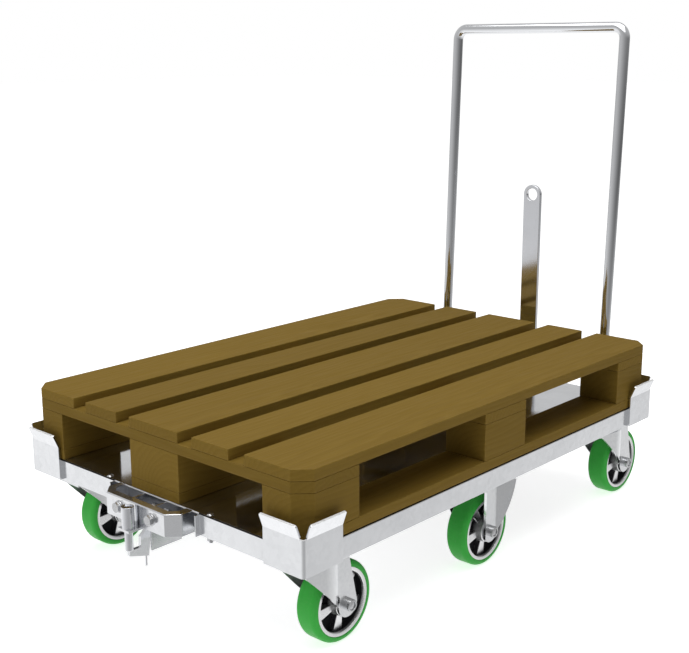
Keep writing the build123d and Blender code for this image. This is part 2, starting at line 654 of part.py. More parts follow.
with BuildPart() as lever_brackets:
    for side, web_start in ((1, bracket_outer), (-1, -BRACKET_INNER_Y)):
        with BuildSketch(side_plane(0, web_start)):
            with Locations((bracket_front, RAIL_Z)):
                Rectangle(BEAM_FRONT - bracket_front, bracket_height, align=(Align.MIN, Align.MIN))
            if side < 0:
                with Locations((bracket_foot_x, RAIL_Z)):
                    Rectangle(BRACKET_FOOT_LENGTH, BRACKET_FOOT_DROP, align=(Align.MIN, Align.MAX))
            with Locations((LEVER_PIVOT_X, LEVER_PIVOT_Z)):
                Circle(pivot_bore, mode=Mode.SUBTRACT)
        extrude(amount=HITCH_SHEET)
        flange_side = Align.MIN if side > 0 else Align.MAX
        with BuildSketch(end_plane(bracket_front)):
            with Locations((side * BRACKET_INNER_Y, RAIL_Z)):
                Rectangle(BRACKET_FLANGE, bracket_height, align=(flange_side, Align.MIN))
            with Locations((side * HITCH_BOLT_Y, HITCH_BOLT_Z)):
                Circle(HITCH_BOLT_DIAMETER / 2 + BOLT_CLEARANCE, mode=Mode.SUBTRACT)
        extrude(amount=HITCH_SHEET)
save(lever_brackets, "lever_brackets")

with BuildPart() as hitch_bolts:
    head_x = HITCH_FRONT - HITCH_WASHER_THICKNESS - HITCH_BOLT_HEAD
    hitch_nut_x = bracket_front + HITCH_SHEET
    for y, z in hitch_bolt_places:
        with BuildSketch(end_plane(head_x)):
            with Locations((y, z)):
                RegularPolygon(HITCH_BOLT_ACROSS / 2, 6, major_radius=False)
        extrude(amount=HITCH_BOLT_HEAD)
        with BuildSketch(end_plane(HITCH_FRONT)):
            with Locations((y, z)):
                Circle(HITCH_WASHER_DIAMETER / 2)
        extrude(amount=-HITCH_WASHER_THICKNESS)
        with BuildSketch(end_plane(HITCH_FRONT)):
            with Locations((y, z)):
                Circle(HITCH_BOLT_DIAMETER / 2)
        extrude(amount=hitch_nut_x + HITCH_NUT_HEIGHT + BOLT_END - HITCH_FRONT)
        with BuildSketch(end_plane(hitch_nut_x)):
            with Locations((y, z)):
                RegularPolygon(HITCH_BOLT_ACROSS / 2, 6, major_radius=False)
        extrude(amount=HITCH_NUT_HEIGHT)
save(hitch_bolts, "hitch_bolts")

with BuildPart() as lever_pivot:
    with BuildSketch(side_plane(LEVER_PIVOT_X, bracket_outer)):
        with Locations((0, LEVER_PIVOT_Z)):
            Circle(LEVER_PIVOT_DIAMETER / 2)
    extrude(amount=2 * bracket_outer)
    for head_start in (bracket_outer + LEVER_PIVOT_HEAD, -bracket_outer):
        with BuildSketch(side_plane(LEVER_PIVOT_X, head_start)):
            with Locations((0, LEVER_PIVOT_Z)):
                RegularPolygon(LEVER_PIVOT_ACROSS / 2, 6, major_radius=False)
        extrude(amount=LEVER_PIVOT_HEAD)
save(lever_pivot, "lever_pivot")

# Lift lever: a plate on the pivot whose toe lies under the coupling pin
toe_top = PIN_BOTTOM - TOE_GAP
arm_side = LEVER_BOSS_RADIUS * cos(radians(LEVER_ARM_ANGLE))
arm_rise = LEVER_BOSS_RADIUS * sin(radians(LEVER_ARM_ANGLE))
lever_points = [
    (PIN_X - LEVER_TOE_PAST_PIN, toe_top - LEVER_TOE_HEIGHT),
    (PIN_X - LEVER_TOE_PAST_PIN, toe_top),
    (PIN_X + LEVER_BODY_SETBACK, toe_top),
    (PIN_X + LEVER_BODY_SETBACK, toe_top + LEVER_SHOULDER_RISE),
    (PIN_X + LEVER_CREST_SETBACK, toe_top + LEVER_CREST_RISE),
    (LEVER_PIVOT_X - arm_side, LEVER_PIVOT_Z + arm_rise),
    (LEVER_PIVOT_X + arm_side, LEVER_PIVOT_Z - arm_rise),
    (PIN_X + LEVER_BACK_SETBACK, toe_top + LEVER_BACK_RISE),
    (PIN_X + LEVER_HEEL_SETBACK, toe_top - LEVER_HEEL_DROP),
]

with BuildPart() as lift_lever:
    with BuildSketch(side_plane(0, LEVER_THICKNESS / 2)):
        Polygon(*lever_points, align=None)
        with Locations((LEVER_PIVOT_X, LEVER_PIVOT_Z)):
            Circle(LEVER_BOSS_RADIUS)
            Circle(pivot_bore, mode=Mode.SUBTRACT)
    extrude(amount=LEVER_THICKNESS)
    rod_top = toe_top - LEVER_HEEL_DROP + LEVER_ROD_ROOT
    with BuildSketch(level(rod_top, PIN_X + LEVER_HEEL_SETBACK - LEVER_ROD_INSET)):
        Circle(LEVER_ROD_DIAMETER / 2)
    extrude(amount=-LEVER_ROD_LENGTH - LEVER_ROD_ROOT)
save(lift_lever, "lift_lever")


# Castor pieces
def axle_bolt(axle_x, axle_y):
    """Axle bolt with a hex head on the +Y side and a round sleeve nut on the -Y side of a fork."""
    with BuildPart() as axle:
        for start, radius, length in (
            (LEG_OUTER, AXLE_DIAMETER / 2, 2 * LEG_OUTER),
            (-LEG_OUTER, AXLE_NUT_DIAMETER / 2, AXLE_NUT_HEIGHT),
        ):
            with BuildSketch(side_plane(axle_x, axle_y + start)):
                with Locations((0, AXLE_Z)):
                    Circle(radius)
            extrude(amount=length)
        with BuildSketch(side_plane(axle_x, axle_y + LEG_OUTER + AXLE_HEAD_HEIGHT)):
            with Locations((0, AXLE_Z)):
                RegularPolygon(AXLE_HEAD_ACROSS / 2, 6, major_radius=False)
        extrude(amount=AXLE_HEAD_HEIGHT)
    return axle


def wheel_ring(axle_x, axle_y, outer, inner, width, rounding):
    """Ring round a wheel axis, with its outer edges rounded."""
    with BuildPart() as ring:
        with BuildSketch(side_plane(axle_x, axle_y + width / 2)):
            with Locations((0, AXLE_Z)):
                Circle(outer)
        extrude(amount=width)
        if rounding:
            fillet(ring.edges().filter_by(GeomType.CIRCLE), rounding)
        with BuildSketch(side_plane(axle_x, axle_y + width / 2)):
            with Locations((0, AXLE_Z)):
                Circle(inner)
        extrude(amount=width, mode=Mode.SUBTRACT)
    return ring


def wheel_core(axle_x, axle_y):
    """Cast wheel core: rim, spokes on a thin web, and a hub bored for two bearings."""
    with BuildPart() as core:
        layers = [
            (RIM_WIDTH, RIM_RADIUS, RIM_RADIUS - RIM_THICKNESS),
            (WEB_THICKNESS, RIM_RADIUS, 0),
            (HUB_LENGTH, HUB_DIAMETER / 2, 0),
        ]
        for width, outer, inner in layers:
            with BuildSketch(side_plane(axle_x, axle_y + width / 2)):
                with Locations((0, AXLE_Z)):
                    Circle(outer)
                    if inner:
                        Circle(inner, mode=Mode.SUBTRACT)
            extrude(amount=width)
        with BuildSketch(side_plane(axle_x, axle_y + SPOKE_DEPTH / 2)):
            with Locations((0, AXLE_Z)):
                with PolarLocations(0, SPOKE_COUNT, start_angle=FIRST_SPOKE_ANGLE):
                    Rectangle(RIM_RADIUS - RIM_THICKNESS / 2, SPOKE_WIDTH, align=(Align.MIN, Align.CENTER))
        extrude(amount=SPOKE_DEPTH)
        bores = [
            (HUB_LENGTH / 2, HUB_LENGTH, AXLE_DIAMETER / 2 + AXLE_RELIEF),
            (HUB_LENGTH / 2, BEARING_WIDTH, BEARING_DIAMETER / 2),
            (BEARING_WIDTH - HUB_LENGTH / 2, BEARING_WIDTH, BEARING_DIAMETER / 2),
        ]
        for start, depth, radius in bores:
            with BuildSketch(side_plane(axle_x, axle_y + start)):
                with Locations((0, AXLE_Z)):
                    Circle(radius)
            extrude(amount=depth, mode=Mode.SUBTRACT)
    return core


def wheel_bearings(axle_x, axle_y):
    """Two bearing rings at the ends of a hub."""
    with BuildPart() as bearings:
        for start in (HUB_LENGTH / 2, BEARING_WIDTH - HUB_LENGTH / 2):
            with BuildSketch(side_plane(axle_x, axle_y + start)):
                with Locations((0, AXLE_Z)):
                    Circle(BEARING_DIAMETER / 2)
                    Circle(AXLE_DIAMETER / 2 + RUNNING_CLEARANCE, mode=Mode.SUBTRACT)
            extrude(amount=BEARING_WIDTH)
    return bearings


def fork_edge(depth, rear):
    """Line of a fork plate at a depth under its outer face, from its rear end to the wing tip."""
    turn = radians(WING_TURN)
    leg_end, crease = (rear, depth - LEG_OUTER), (0, depth - LEG_OUTER)
    swell = (-WING_SWELL_RUN, depth - LEG_OUTER - WING_SWELL)
    tip = (-WING_REACH, swell[1] + (WING_REACH - WING_SWELL_RUN) * tan(turn))
    Line(leg_end, crease)
    TangentArc(swell, crease, tangent=(cos(turn), -sin(turn)))
    Line(swell, tip)
    return leg_end, tip


def swivel_fork(swivel_x, swivel_y):
    """Pressed fork: crown and race round the kingpin, and two legs with a swelled wing towards the front."""
    axle_x = swivel_x + CASTOR_TRAIL
    bend_x = axle_x - LEG_END_RADIUS
    middle = Plane((0, swivel_y, 0), x_dir=(1, 0, 0), z_dir=(0, 1, 0))
    plate_reach = LEG_OUTER + 2 * WING_SWELL
    wing_middle = (-WING_REACH / 2 + WING_HOLLOW, (AXLE_Z + CROWN_TOP) / 2 - WING_HOLLOW)
    with BuildPart() as fork:
        with BuildSketch(level(AXLE_Z - LEG_END_RADIUS, bend_x, swivel_y)):
            with BuildLine():
                outer = fork_edge(0, 2 * LEG_END_RADIUS)
                inner = fork_edge(FORK_SHEET, 2 * LEG_END_RADIUS)
                for start, end in zip(outer, inner):
                    Line(start, end)
            make_face()
        extrude(amount=CROWN_TOP - AXLE_Z + LEG_END_RADIUS)
        with BuildSketch(side_plane(bend_x, swivel_y)):
            with BuildLine():
                Polyline(
                    (-WING_REACH, CROWN_TOP),
                    (LEG_END_RADIUS + CROWN_REAR, CROWN_TOP),
                    (2 * LEG_END_RADIUS, AXLE_Z),
                )
                ThreePointArc(
                    (2 * LEG_END_RADIUS, AXLE_Z),
                    (LEG_END_RADIUS, AXLE_Z - LEG_END_RADIUS),
                    (0, AXLE_Z),
                )
                ThreePointArc((0, AXLE_Z), wing_middle, (-WING_REACH, CROWN_TOP))
            make_face()
        extrude(amount=plate_reach, mode=Mode.INTERSECT)
        with BuildSketch(side_plane(axle_x, swivel_y)):
            with Locations((0, AXLE_Z)):
                Circle(AXLE_DIAMETER / 2 + BOLT_CLEARANCE)
            with Locations((-LEG_SLOT_SETBACK, AXLE_Z + LEG_SLOT_RISE)):
                SlotOverall(LEG_SLOT_LENGTH, LEG_SLOT_WIDTH, rotation=90)
        extrude(amount=plate_reach, mode=Mode.SUBTRACT)
        mirror(about=middle)
        with BuildSketch(level(CROWN_Z, bend_x, swivel_y)):
            with BuildLine():
                crown_ends = fork_edge(FORK_SHEET / 2, LEG_END_RADIUS + CROWN_REAR)
                mirror(about=Plane.XZ)
                for x, y in crown_ends:
                    Line((x, y), (x, -y))
            make_face()
        extrude(amount=CROWN_THICKNESS)
        with BuildSketch(level(CROWN_TOP, swivel_x, swivel_y)):
            Circle(RACE_DIAMETER / 2)
        extrude(amount=RACE_HEIGHT)
        with BuildSketch(level(CROWN_Z, swivel_x, swivel_y)):
            Circle(KINGPIN_DIAMETER / 2 + RUNNING_CLEARANCE)
        extrude(amount=CROWN_THICKNESS + RACE_HEIGHT, mode=Mode.SUBTRACT)
    return fork


for place, (swivel_x, swivel_y) in SWIVELS.items():
    save(swivel_fork(swivel_x, swivel_y), f"fork_{place}")
    save(axle_bolt(swivel_x + CASTOR_TRAIL, swivel_y), f"axle_{place}")

for place, (axle_x, axle_y) in {
    **{place: (x + CASTOR_TRAIL, y) for place, (x, y) in SWIVELS.items()},
    **FIXED,
}.items():
    save(wheel_ring(axle_x, axle_y, AXLE_Z, RIM_RADIUS, TREAD_WIDTH, TREAD_SHOULDER), f"tread_{place}")
    save(wheel_core(axle_x, axle_y), f"core_{place}")
    save(wheel_bearings(axle_x, axle_y), f"bearings_{place}")

with BuildPart() as fixed_axles:
    for axle_x, axle_y in FIXED.values():
        add(axle_bolt(axle_x, axle_y).part)
save(fixed_axles, "fixed_axles")


def bent_leg_plan():
    """Plan of one fixed castor leg, relative to its castor: a flat middle and two outward flanges."""
    turn = radians(FLANGE_TURN)
    half_leg = FIXED_LEG_WIDTH / 2
    mitre = FORK_SHEET * tan(turn / 2)
    tip_x = half_leg + FLANGE_REACH * cos(turn)
    tip_y = LEG_OUTER + FLANGE_REACH * sin(turn)
    half = [
        (half_leg, -LEG_OUTER),
        (tip_x, -tip_y),
        (tip_x + FORK_SHEET * sin(turn), FORK_SHEET * cos(turn) - tip_y),
        (half_leg + mitre, -LEG_INNER),
    ]
    return half + [(-x, y) for x, y in reversed(half)]


def fixed_fork(castor_x, castor_y):
    """Fixed castor frame: top plate and two bent legs, trimmed round at the axle and widening upwards."""
    turn = radians(FLANGE_TURN)
    toe_x = FIXED_LEG_WIDTH / 2 + FLANGE_TOE * cos(turn)
    tip_x = FIXED_LEG_WIDTH / 2 + FLANGE_REACH * cos(turn)
    crown_x = (toe_x + tip_x) / 2 + FLANGE_CROWN
    crown_z = (AXLE_Z + PLATE_Z) / 2
    middle = Plane((0, castor_y, 0), x_dir=(1, 0, 0), z_dir=(0, 1, 0))
    with BuildPart() as frame:
        with BuildSketch(level(AXLE_Z - LEG_END_RADIUS, castor_x, castor_y)):
            Polygon(*bent_leg_plan(), align=None)
        extrude(amount=PLATE_Z - AXLE_Z + LEG_END_RADIUS)
        with BuildSketch(side_plane(castor_x, castor_y)):
            with BuildLine():
                ThreePointArc((-toe_x, AXLE_Z), (0, AXLE_Z - LEG_END_RADIUS), (toe_x, AXLE_Z))
                ThreePointArc((toe_x, AXLE_Z), (crown_x, crown_z), (tip_x, PLATE_Z))
                Line((tip_x, PLATE_Z), (-tip_x, PLATE_Z))
                ThreePointArc((-tip_x, PLATE_Z), (-crown_x, crown_z), (-toe_x, AXLE_Z))
            make_face()
        extrude(amount=LEG_OUTER + FLANGE_REACH, mode=Mode.INTERSECT)
        with BuildSketch(side_plane(castor_x, castor_y)):
            with Locations((0, AXLE_Z)):
                Circle(AXLE_DIAMETER / 2 + BOLT_CLEARANCE)
        extrude(amount=LEG_OUTER, mode=Mode.SUBTRACT)
        mirror(about=middle)
        with BuildSketch(level(PLATE_Z, castor_x, castor_y)):
            RectangleRounded(CASTOR_PLATE_LENGTH, CASTOR_PLATE_WIDTH, CASTOR_PLATE_CORNER)
            with Locations(*castor_bolt_places(0, 0)):
                Circle(CASTOR_BOLT_DIAMETER / 2 + BOLT_CLEARANCE, mode=Mode.SUBTRACT)
        extrude(amount=CASTOR_PLATE_THICKNESS)
    return frame


with BuildPart() as fixed_forks:
    for castor_x, castor_y in FIXED.values():
        add(fixed_fork(castor_x, castor_y).part)
save(fixed_forks, "fixed_forks")

with BuildPart() as swivel_plates:
    for swivel_x, swivel_y in SWIVELS.values():
        with BuildSketch(level(PLATE_Z, swivel_x, swivel_y)):
            RectangleRounded(CASTOR_PLATE_LENGTH, CASTOR_PLATE_WIDTH, CASTOR_PLATE_CORNER)
            with Locations(*castor_bolt_places(0, 0)):
                Circle(CASTOR_BOLT_DIAMETER / 2 + BOLT_CLEARANCE, mode=Mode.SUBTRACT)
            Circle(KINGPIN_DIAMETER / 2 + RUNNING_CLEARANCE, mode=Mode.SUBTRACT)
        extrude(amount=CASTOR_PLATE_THICKNESS)
save(swivel_plates, "swivel_plates")

# Kingpins: riveted into the plate, with a head under the fork crown
with BuildPart() as kingpins:
    kingpin_head_top = CROWN_Z - SWIVEL_GAP
    for swivel_x, swivel_y in SWIVELS.values():
        with BuildSketch(level(kingpin_head_top, swivel_x, swivel_y)):
            Circle(KINGPIN_DIAMETER / 2)
        extrude(amount=RAIL_Z - kingpin_head_top)
        with BuildSketch(level(kingpin_head_top, swivel_x, swivel_y)):
            Circle(KINGPIN_HEAD_DIAMETER / 2)
        extrude(amount=-KINGPIN_HEAD_HEIGHT)
save(kingpins, "kingpins")

# Castor bolts: head under the plate, nut inside the beam
with BuildPart() as castor_bolts:
    bolt_head_z = PLATE_Z - CASTOR_BOLT_HEAD
    castor_nut_z = RAIL_Z + SHEET
    for castor_x, castor_y in [*SWIVELS.values(), *FIXED.values()]:
        for x, y in castor_bolt_places(castor_x, castor_y):
            with BuildSketch(level(PLATE_Z, x, y)):
                Circle(CASTOR_BOLT_DIAMETER / 2)
            extrude(amount=castor_nut_z + CASTOR_NUT_HEIGHT + BOLT_END - PLATE_Z)
            for start, height in ((bolt_head_z, CASTOR_BOLT_HEAD), (castor_nut_z, CASTOR_NUT_HEIGHT)):
                with BuildSketch(level(start, x, y)):
                    RegularPolygon(CASTOR_BOLT_ACROSS / 2, 6, major_radius=False)
                extrude(amount=height)
save(castor_bolts, "castor_bolts")

# Pallet: three layers of boards over nine blocks, with cut corners
with BuildSketch() as pallet_plan:
    Rectangle(PALLET_LENGTH, PALLET_WIDTH)
    chamfer(pallet_plan.vertices(), PALLET_CORNER)

outer_row = PALLET_WIDTH / 2 - PALLET_NARROW_BOARD / 2
block_rows = [(-outer_row, PALLET_NARROW_BOARD), (0, PALLET_WIDE_BOARD), (outer_row, PALLET_NARROW_BOARD)]
end_block = PALLET_LENGTH / 2 - PALLET_WIDE_BOARD / 2
block_columns = [-end_block, 0, end_block]
board_pair = [PALLET_WIDE_BOARD, PALLET_NARROW_BOARD]
deck_widths = [*board_pair, *board_pair, PALLET_WIDE_BOARD]
board_gap = (PALLET_WIDTH - sum(deck_widths)) / (len(deck_widths) - 1)
deck_boards = []
board_edge = -PALLET_WIDTH / 2
for board_width in deck_widths:
    deck_boards.append((board_edge + board_width / 2, board_width))
    board_edge += board_width + board_gap

block_z = PALLET_Z + PALLET_BOARD
cross_z = block_z + PALLET_BLOCK_HEIGHT
deck_board_z = cross_z + PALLET_BOARD

with BuildPart() as pallet_runners:
    with BuildSketch(level(PALLET_Z)):
        for y, width in block_rows:
            with Locations((0, y)):
                Rectangle(PALLET_LENGTH, width)
        add(pallet_plan.sketch, mode=Mode.INTERSECT)
    extrude(amount=PALLET_BOARD)
save(pallet_runners, "pallet_runners")

with BuildPart() as pallet_blocks:
    with BuildSketch(level(block_z)):
        for y, width in block_rows:
            with Locations(*[(x, y) for x in block_columns]):
                Rectangle(PALLET_WIDE_BOARD, width)
        add(pallet_plan.sketch, mode=Mode.INTERSECT)
    extrude(amount=PALLET_BLOCK_HEIGHT)
save(pallet_blocks, "pallet_blocks")

with BuildPart() as pallet_cross_boards:
    with BuildSketch(level(cross_z)):
        with Locations(*[(x, 0) for x in block_columns]):
            Rectangle(PALLET_WIDE_BOARD, PALLET_WIDTH)
        add(pallet_plan.sketch, mode=Mode.INTERSECT)
    extrude(amount=PALLET_BOARD)
save(pallet_cross_boards, "pallet_cross_boards")

with BuildPart() as pallet_deck_boards:
    with BuildSketch(level(deck_board_z)):
        for y, width in deck_boards:
            with Locations((0, y)):
                Rectangle(PALLET_LENGTH, width)
        add(pallet_plan.sketch, mode=Mode.INTERSECT)
    extrude(amount=PALLET_BOARD)
save(pallet_deck_boards, "pallet_deck_boards")
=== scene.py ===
"""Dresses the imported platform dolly: folded zinc sheet, chrome handle, cast wheels and a wooden pallet."""

import logging
import math
import random
from collections.abc import Callable, Iterator, Sequence
from dataclasses import dataclass
from enum import Enum
from typing import Any

import bmesh
import bpy
from bmesh.types import BMEdge, BMesh, BMVert
from mathutils import Matrix, Vector


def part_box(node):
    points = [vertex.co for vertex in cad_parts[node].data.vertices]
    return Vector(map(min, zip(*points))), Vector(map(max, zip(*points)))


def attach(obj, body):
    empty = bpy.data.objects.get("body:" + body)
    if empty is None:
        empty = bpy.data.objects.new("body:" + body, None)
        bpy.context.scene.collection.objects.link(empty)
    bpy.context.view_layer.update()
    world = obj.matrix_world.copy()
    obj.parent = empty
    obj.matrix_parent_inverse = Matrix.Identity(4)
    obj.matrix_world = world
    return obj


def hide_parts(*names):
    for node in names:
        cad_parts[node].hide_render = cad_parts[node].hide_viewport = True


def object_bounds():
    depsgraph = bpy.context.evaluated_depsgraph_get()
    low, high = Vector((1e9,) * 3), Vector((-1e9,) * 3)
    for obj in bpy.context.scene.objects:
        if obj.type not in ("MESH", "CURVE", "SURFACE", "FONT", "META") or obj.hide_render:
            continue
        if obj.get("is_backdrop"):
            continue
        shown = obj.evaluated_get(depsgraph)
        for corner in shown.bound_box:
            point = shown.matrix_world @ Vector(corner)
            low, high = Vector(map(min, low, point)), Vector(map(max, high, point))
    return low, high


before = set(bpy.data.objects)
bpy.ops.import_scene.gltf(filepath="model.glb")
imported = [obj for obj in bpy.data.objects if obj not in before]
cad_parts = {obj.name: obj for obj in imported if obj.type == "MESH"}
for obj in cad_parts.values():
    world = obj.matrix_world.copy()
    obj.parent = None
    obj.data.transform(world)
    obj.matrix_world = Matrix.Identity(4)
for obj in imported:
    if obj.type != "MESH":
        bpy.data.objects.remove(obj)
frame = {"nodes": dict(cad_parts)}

LOG = logging.getLogger("platform_dolly")
FULL_TURN = 2 * math.pi
MERGE = 1e-6
FLAT_ANGLE = math.radians(0.5)
SHARP_ANGLE = math.radians(50.0)
BOTH_SIDES = (-1, 1)
TURNED_FACETS = 6
HEX_CUTS = 24
HEX_SLOPE = math.radians(30.0)
HEX_CUT_SHARE = 0.475

Colour = tuple[float, float, float]
Pair = tuple[float, float]
Triple = tuple[float, float, float]
Profile = Sequence[Pair]
Socket = bpy.types.NodeSocket


class Slot(Enum):
    """Material slots of the record, which name the object's finishes."""

    BRIGHT_ZINC = "bright_zinc"
    POLISHED_STEEL = "polished_steel"
    CHROME_TUBE = "chrome_tube"
    FORK_ZINC = "fork_zinc"
    FASTENER_ZINC = "fastener_zinc"
    GREEN_TREAD = "green_tread"
    WHEEL_CORE = "wheel_core"
    BEARING_STEEL = "bearing_steel"
    PALLET_WOOD = "pallet_wood"


class Corner(Enum):
    """The four corners of the platform, each with a guide and a swivel castor."""

    FRONT_LEFT = "front_left"
    FRONT_RIGHT = "front_right"
    REAR_LEFT = "rear_left"
    REAR_RIGHT = "rear_right"

    @property
    def signs(self) -> tuple[int, int]:
        """Signs of x and y at this corner."""
        end, side = self.value.split("_")
        return (1 if end == "front" else -1, 1 if side == "left" else -1)


class Middle(Enum):
    """The two fixed castors half way along the platform."""

    LEFT = "middle_left"
    RIGHT = "middle_right"

    @property
    def side(self) -> int:
        """Sign of y on this side."""
        return 1 if self is Middle.LEFT else -1


class Facing(Enum):
    """Direction that the axis of a turned piece points to."""

    UP = (0.0, 0.0, 1.0)
    RIGHT = (0.0, -1.0, 0.0)
    FRONT = (1.0, 0.0, 0.0)
    REAR = (-1.0, 0.0, 0.0)

    def at(self, place: Sequence[float]) -> Matrix:
        """Matrix from a piece's own axis to a place on the dolly.

        Args:
            place: Point that the piece's own origin goes to.

        Returns:
            The turn and the move as one matrix.
        """
        turn = Vector(self.value).to_track_quat("Z", "Y").to_matrix().to_4x4()
        return Matrix.Translation(Vector(place)) @ turn


@dataclass(frozen=True)
class Noise:
    """Cloudy noise: clouds to a metre, octaves of finer noise and their strength."""

    scale: float = 1.0
    detail: float = 2.0
    rough: float = 0.5


class NodeSheet:
    """Adds shader nodes to one tree and joins them."""

    MIX_COLOURS = (6, 7)
    MIX_RESULT = 2

    def __init__(self, tree: bpy.types.NodeTree) -> None:
        """Keep the tree that the nodes go into."""
        self.tree = tree

    def add(self, kind: str, **settings: Any) -> bpy.types.Node:
        """Add one node.

        Args:
            kind: Blender's name of the node type.
            **settings: Properties to set on the node.

        Returns:
            The new node.
        """
        node = self.tree.nodes.new(kind)
        for name, value in settings.items():
            setattr(node, name, value)
        return node

    def feed(self, target: Socket, value: Any) -> None:
        """Join another socket to a socket, or write a plain value into it.

        Args:
            target: Socket that takes the value.
            value: Socket or plain value.
        """
        if isinstance(value, Socket):
            self.tree.links.new(value, target)
        else:
            target.default_value = value

    def math(self, operation: str, first: Any, second: Any = 0.0) -> Socket:
        """Work out one value from two.

        Args:
            operation: Name of the math operation.
            first: First value or socket.
            second: Second value or socket.

        Returns:
            The result's socket.
        """
        node = self.add("ShaderNodeMath", operation=operation)
        self.feed(node.inputs[0], first)
        self.feed(node.inputs[1], second)
        return node.outputs[0]

    def stretched(self, vector: Socket, factors: Any) -> Socket:
        """Scale coordinates along each axis.

        Args:
            vector: Coordinates.
            factors: Three factors, or a socket that gives them.

        Returns:
            The scaled coordinates.
        """
        node = self.add("ShaderNodeVectorMath", operation="MULTIPLY")
        self.feed(node.inputs[0], vector)
        self.feed(node.inputs[1], factors)
        return node.outputs[0]

    def noise(self, vector: Socket, noise: Noise) -> Socket:
        """Spread a cloudy noise over a surface.

        Args:
            vector: Coordinates.
            noise: Size and strength of the clouds.

        Returns:
            A value from about 0 to 1.
        """
        node = self.add("ShaderNodeTexNoise", noise_dimensions="3D")
        self.feed(node.inputs["Vector"], vector)
        for label, number in (("Scale", noise.scale), ("Detail", noise.detail), ("Roughness", noise.rough)):
            node.inputs[label].default_value = number
        return node.outputs["Fac"]

    def remap(
        self, value: Socket, low: float, high: float, to_low: float = 0.0, to_high: float = 1.0
    ) -> Socket:
        """Spread a value from one range to another, held within the new one.

        Args:
            value: Value to spread.
            low: Start of its range.
            high: End of its range.
            to_low: Start of the new range.
            to_high: End of the new range.

        Returns:
            The new value.
        """
        node = self.add("ShaderNodeMapRange", clamp=True)
        for index, number in enumerate((value, low, high, to_low, to_high)):
            self.feed(node.inputs[index], number)
        return node.outputs[0]

    def blend(self, share: Any, first: Any, second: Any) -> Socket:
        """Mix two colours.

        Args:
            share: Share of the second colour.
            first: Colour or socket at share 0.
            second: Colour or socket at share 1.

        Returns:
            The mixed colour.
        """
        node = self.add("ShaderNodeMix", data_type="RGBA")
        self.feed(node.inputs[0], share)
        for index, colour in zip(self.MIX_COLOURS, (first, second)):
            self.feed(node.inputs[index], colour if isinstance(colour, Socket) else (*colour, 1.0))
        return node.outputs[self.MIX_RESULT]


class Effect:
    """One shared surface effect: a node group with named inputs and outputs."""

    VECTOR = "NodeSocketVector"
    NUMBER = "NodeSocketFloat"

    def __init__(self, name: str, inputs: dict[str, str], outputs: Sequence[str]) -> None:
        """Start the group and its sockets.

        Args:
            name: Name of the group.
            inputs: Socket type of each input.
            outputs: Names of the values that the group puts out.
        """
        self.group = bpy.data.node_groups.new(name, "ShaderNodeTree")
        for label, kind in inputs.items():
            self.group.interface.new_socket(label, in_out="INPUT", socket_type=kind)
        for label in outputs:
            self.group.interface.new_socket(label, in_out="OUTPUT", socket_type=self.NUMBER)
        self.sheet = NodeSheet(self.group)
        self.inputs = self.sheet.add("NodeGroupInput").outputs
        self.outputs = self.sheet.add("NodeGroupOutput").inputs

    def use(self, sheet: NodeSheet, **values: Any) -> bpy.types.NodeOutputs:
        """Place the effect in a material.

        Args:
            sheet: Node sheet of the material.
            **values: Value or socket for each input.

        Returns:
            The effect's outputs.
        """
        node = sheet.add("ShaderNodeGroup", node_tree=self.group)
        for label, value in values.items():
            sheet.feed(node.inputs[label], value)
        return node.outputs


